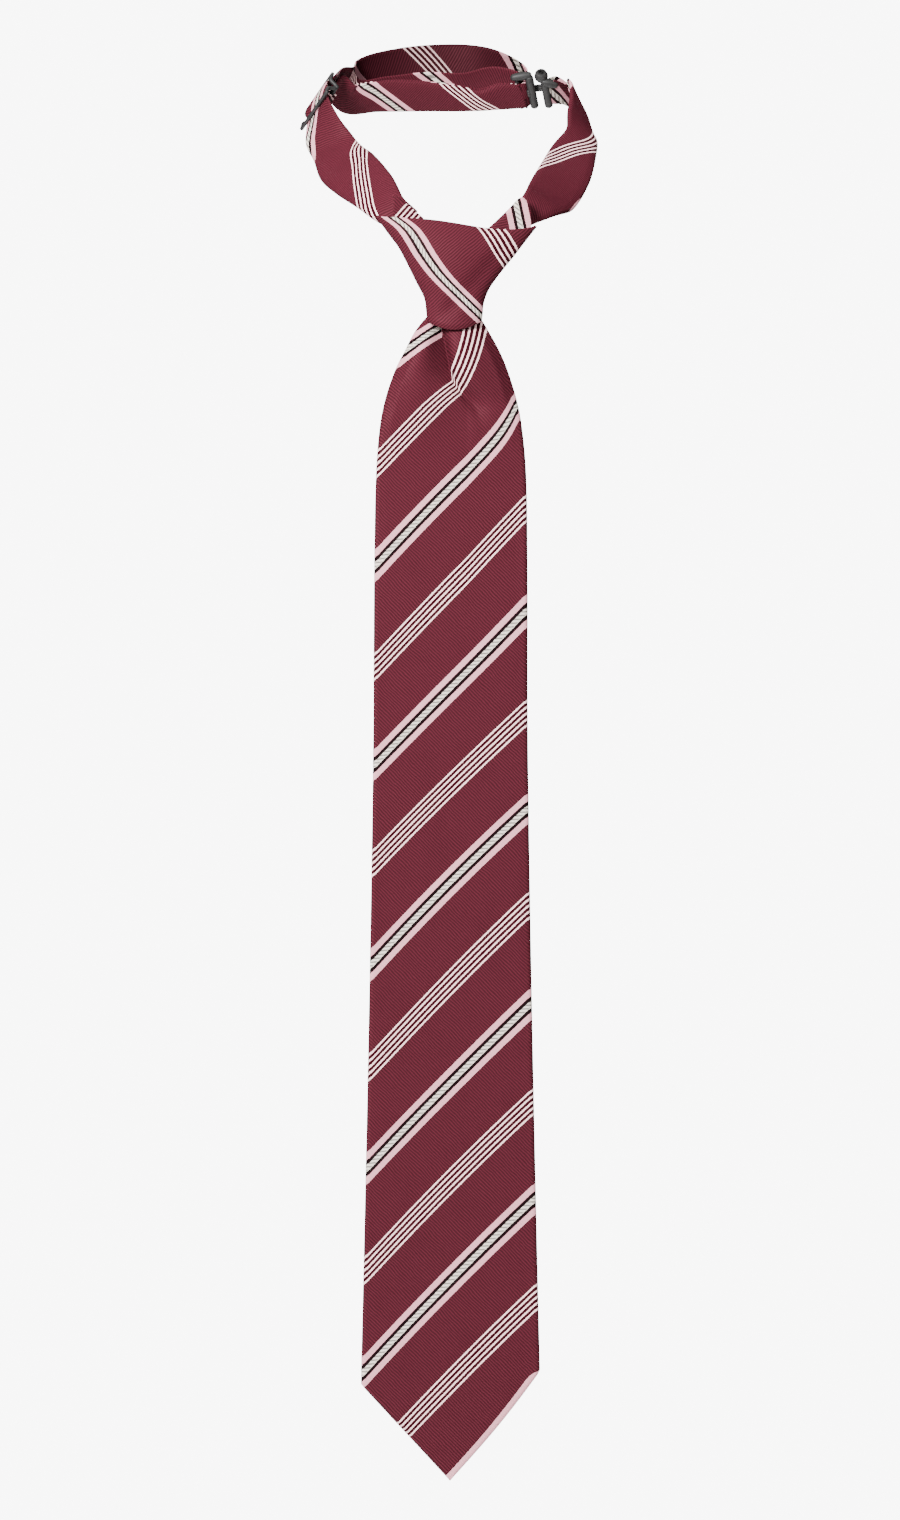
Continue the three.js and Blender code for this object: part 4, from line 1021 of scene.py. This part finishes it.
def clasp_ring(front, reach, half, cap_drop, cap_out):
    """A cast frame: the strap bar is slim inside the cloth, the front bar and the cap are sturdier."""
    turned = np.sign(reach)

    def at(along, up, out=0.0):
        return front + CLASP_ALONG * along + CLASP_UP * up + CLASP_OUT * out

    level = half + 1.6 - 1.3 * cap_drop
    cap_end = at(reach + turned * (1.2 - cap_drop), level - 1.35 * cap_drop, cap_out)
    cap = straight(at(-turned * 0.2, level, cap_out), cap_end, 14)
    swelling = 1.3 + 0.75 * np.sin(np.linspace(0.15, 0.85, 14) * math.pi)
    foot = straight(at(0, -half + 1.2, 0.5), at(reach, -half + 1.2, 0.5))
    front_bar = straight(at(0, -half), at(0, half))
    strap_bar = straight(at(reach, -half), at(reach, level - cap_drop - 0.5))
    bars = [tube(front_bar, CLASP_SOLID, 20), tube(strap_bar, CLASP_WIRE / 2)]
    return bars + [tube(cap, swelling, 20), tube(foot, 0.8)]


def build_clasp():
    parts = clasp_ring(EYE_BAR, -EYE_REACH, 7.3, 0.0, 0.0)
    solid_piece("eye_wire", parts, METAL, "gunmetal_hardware", body="eye", nodes=["eye"])
    parts = clasp_ring(HOOK_FRONT_BAR, HOOK_REACH, 7.0, 1.8, -1.8)
    knob = HOOK_FRONT_BAR + CLASP_UP * 8.5 - CLASP_ALONG * 0.9
    axis = unit(CLASP_UP * 0.75 - np.array([0, 1, 0]) * 0.66)
    parts.append(tube([knob + axis * (k - 1.5) * 0.8 for k in range(4)], [2.7, 3.2, 3.2, 3.0], 24))
    top = 2.6                  # the tongue clears the eye's bar, then hooks down behind it
    path = [(-0.2, 0), (-1.4, top - 0.4), (-4.2, top), (-6.3, top), (-7.9, top - 0.8)]
    path += [(-8.4, -0.6), (-7.9, -1.5)]
    for side in (-1.1, 0, 1.1):
        line = [HOOK_FRONT_BAR + CLASP_ALONG * a + CLASP_OUT * b + CLASP_UP * (side + 1.2) for a, b in path]
        parts.append(tube(catmull(line, 4), 0.75, 10))
    solid_piece("hook_wire", parts, METAL, "gunmetal_hardware", body="hook", nodes=["hook"])


# ---------- room, light and camera, in metres ----------
CAMERA_DISTANCE = 3.0          # from the blade's front
CAMERA_LEVEL = -0.2761
VIEW_HEIGHT = 0.6831           # what the picture's longer side takes in at the blade


def area_light(name, place, target, size, power, mirrored=True):
    data = bpy.data.lights.new(name, "AREA")
    data.shape = "SQUARE"
    data.size = size
    data.energy = power
    light = bpy.data.objects.new(name, data)
    light.visible_glossy = mirrored
    light.location = place
    light.rotation_mode = "QUATERNION"
    light.rotation_quaternion = (Vector(target) - Vector(place)).to_track_quat("-Z", "Y")
    bpy.context.scene.collection.objects.link(light)


def build_studio():
    g = Graph("pale_floor")
    speck = g.noise(40.0, 2.0, g.node("ShaderNodeTexCoord").outputs["Object"])
    g.finish(g.mix(speck, (0.80, 0.80, 0.80), (0.84, 0.84, 0.84)), 0.8, 0.1)
    mesh = bpy.data.meshes.new("floor")
    side = 0.8
    level = -0.72
    corners = [(x * side, y * side, level) for x, y in ((-1, -1), (1, -1), (1, 1), (-1, 1))]
    mesh.from_pydata(corners, [], [(0, 1, 2, 3)])
    mesh.materials.append(g.material)
    floor = bpy.data.objects.new("floor", mesh)
    bpy.context.scene.collection.objects.link(floor)

    world = bpy.data.worlds.new("white_room")
    world.use_nodes = True
    background = world.node_tree.nodes["Background"]
    background.inputs["Color"].default_value = (1, 1, 1, 1)
    background.inputs["Strength"].default_value = 8.5
    bpy.context.scene.world = world
    world.cycles_visibility.diffuse = False
    world.cycles_visibility.glossy = False

    aim = (0, 0, -0.2)
    area_light("key", (-0.6, -1.12, 0.42), (0, -0.05, -0.12), 0.4, 79)
    area_light("fill", (0.95, -1.3, 0.5), aim, 1.0, 18)
    area_light("side", (-1.5, -0.3, 0.1), aim, 1.0, 22, False)
    area_light("top", (0.1, 0.0, 1.3), (0, 0, 0), 0.9, 32, False)
    area_light("back_left", (-1.0, 1.5, 0.4), aim, 1.1, 60, False)
    area_light("back_right", (1.2, 1.4, 0.2), aim, 1.1, 55, False)

    data = bpy.data.cameras.new("camera")
    data.sensor_width = 36
    data.lens = 36 * CAMERA_DISTANCE / VIEW_HEIGHT
    camera = bpy.data.objects.new("camera", data)
    camera.location = (0, FRONT * MM - CAMERA_DISTANCE, CAMERA_LEVEL)
    camera.rotation_euler = (math.pi / 2, 0, 0)
    bpy.context.scene.collection.objects.link(camera)
    bpy.context.scene.camera = camera


build_blade()
build_tipping()
build_slip_stitch()
for name, node, height in (("bar_tack_stitches", "blade_bar_tack", SEAM_END + 19),
                           ("seam_top_stitches", "seam_top_tack", SEAM_START + 3)):
    sewn_bar(name, node, "blade", (0, BACK + 0.6, height), (1, 0, 0), (0, 1, 0), 7, 1.2)
build_keeper()
build_label()
build_knot()
build_tucks()
build_straps()
build_ends()
build_slider()
build_clasp()
build_studio()
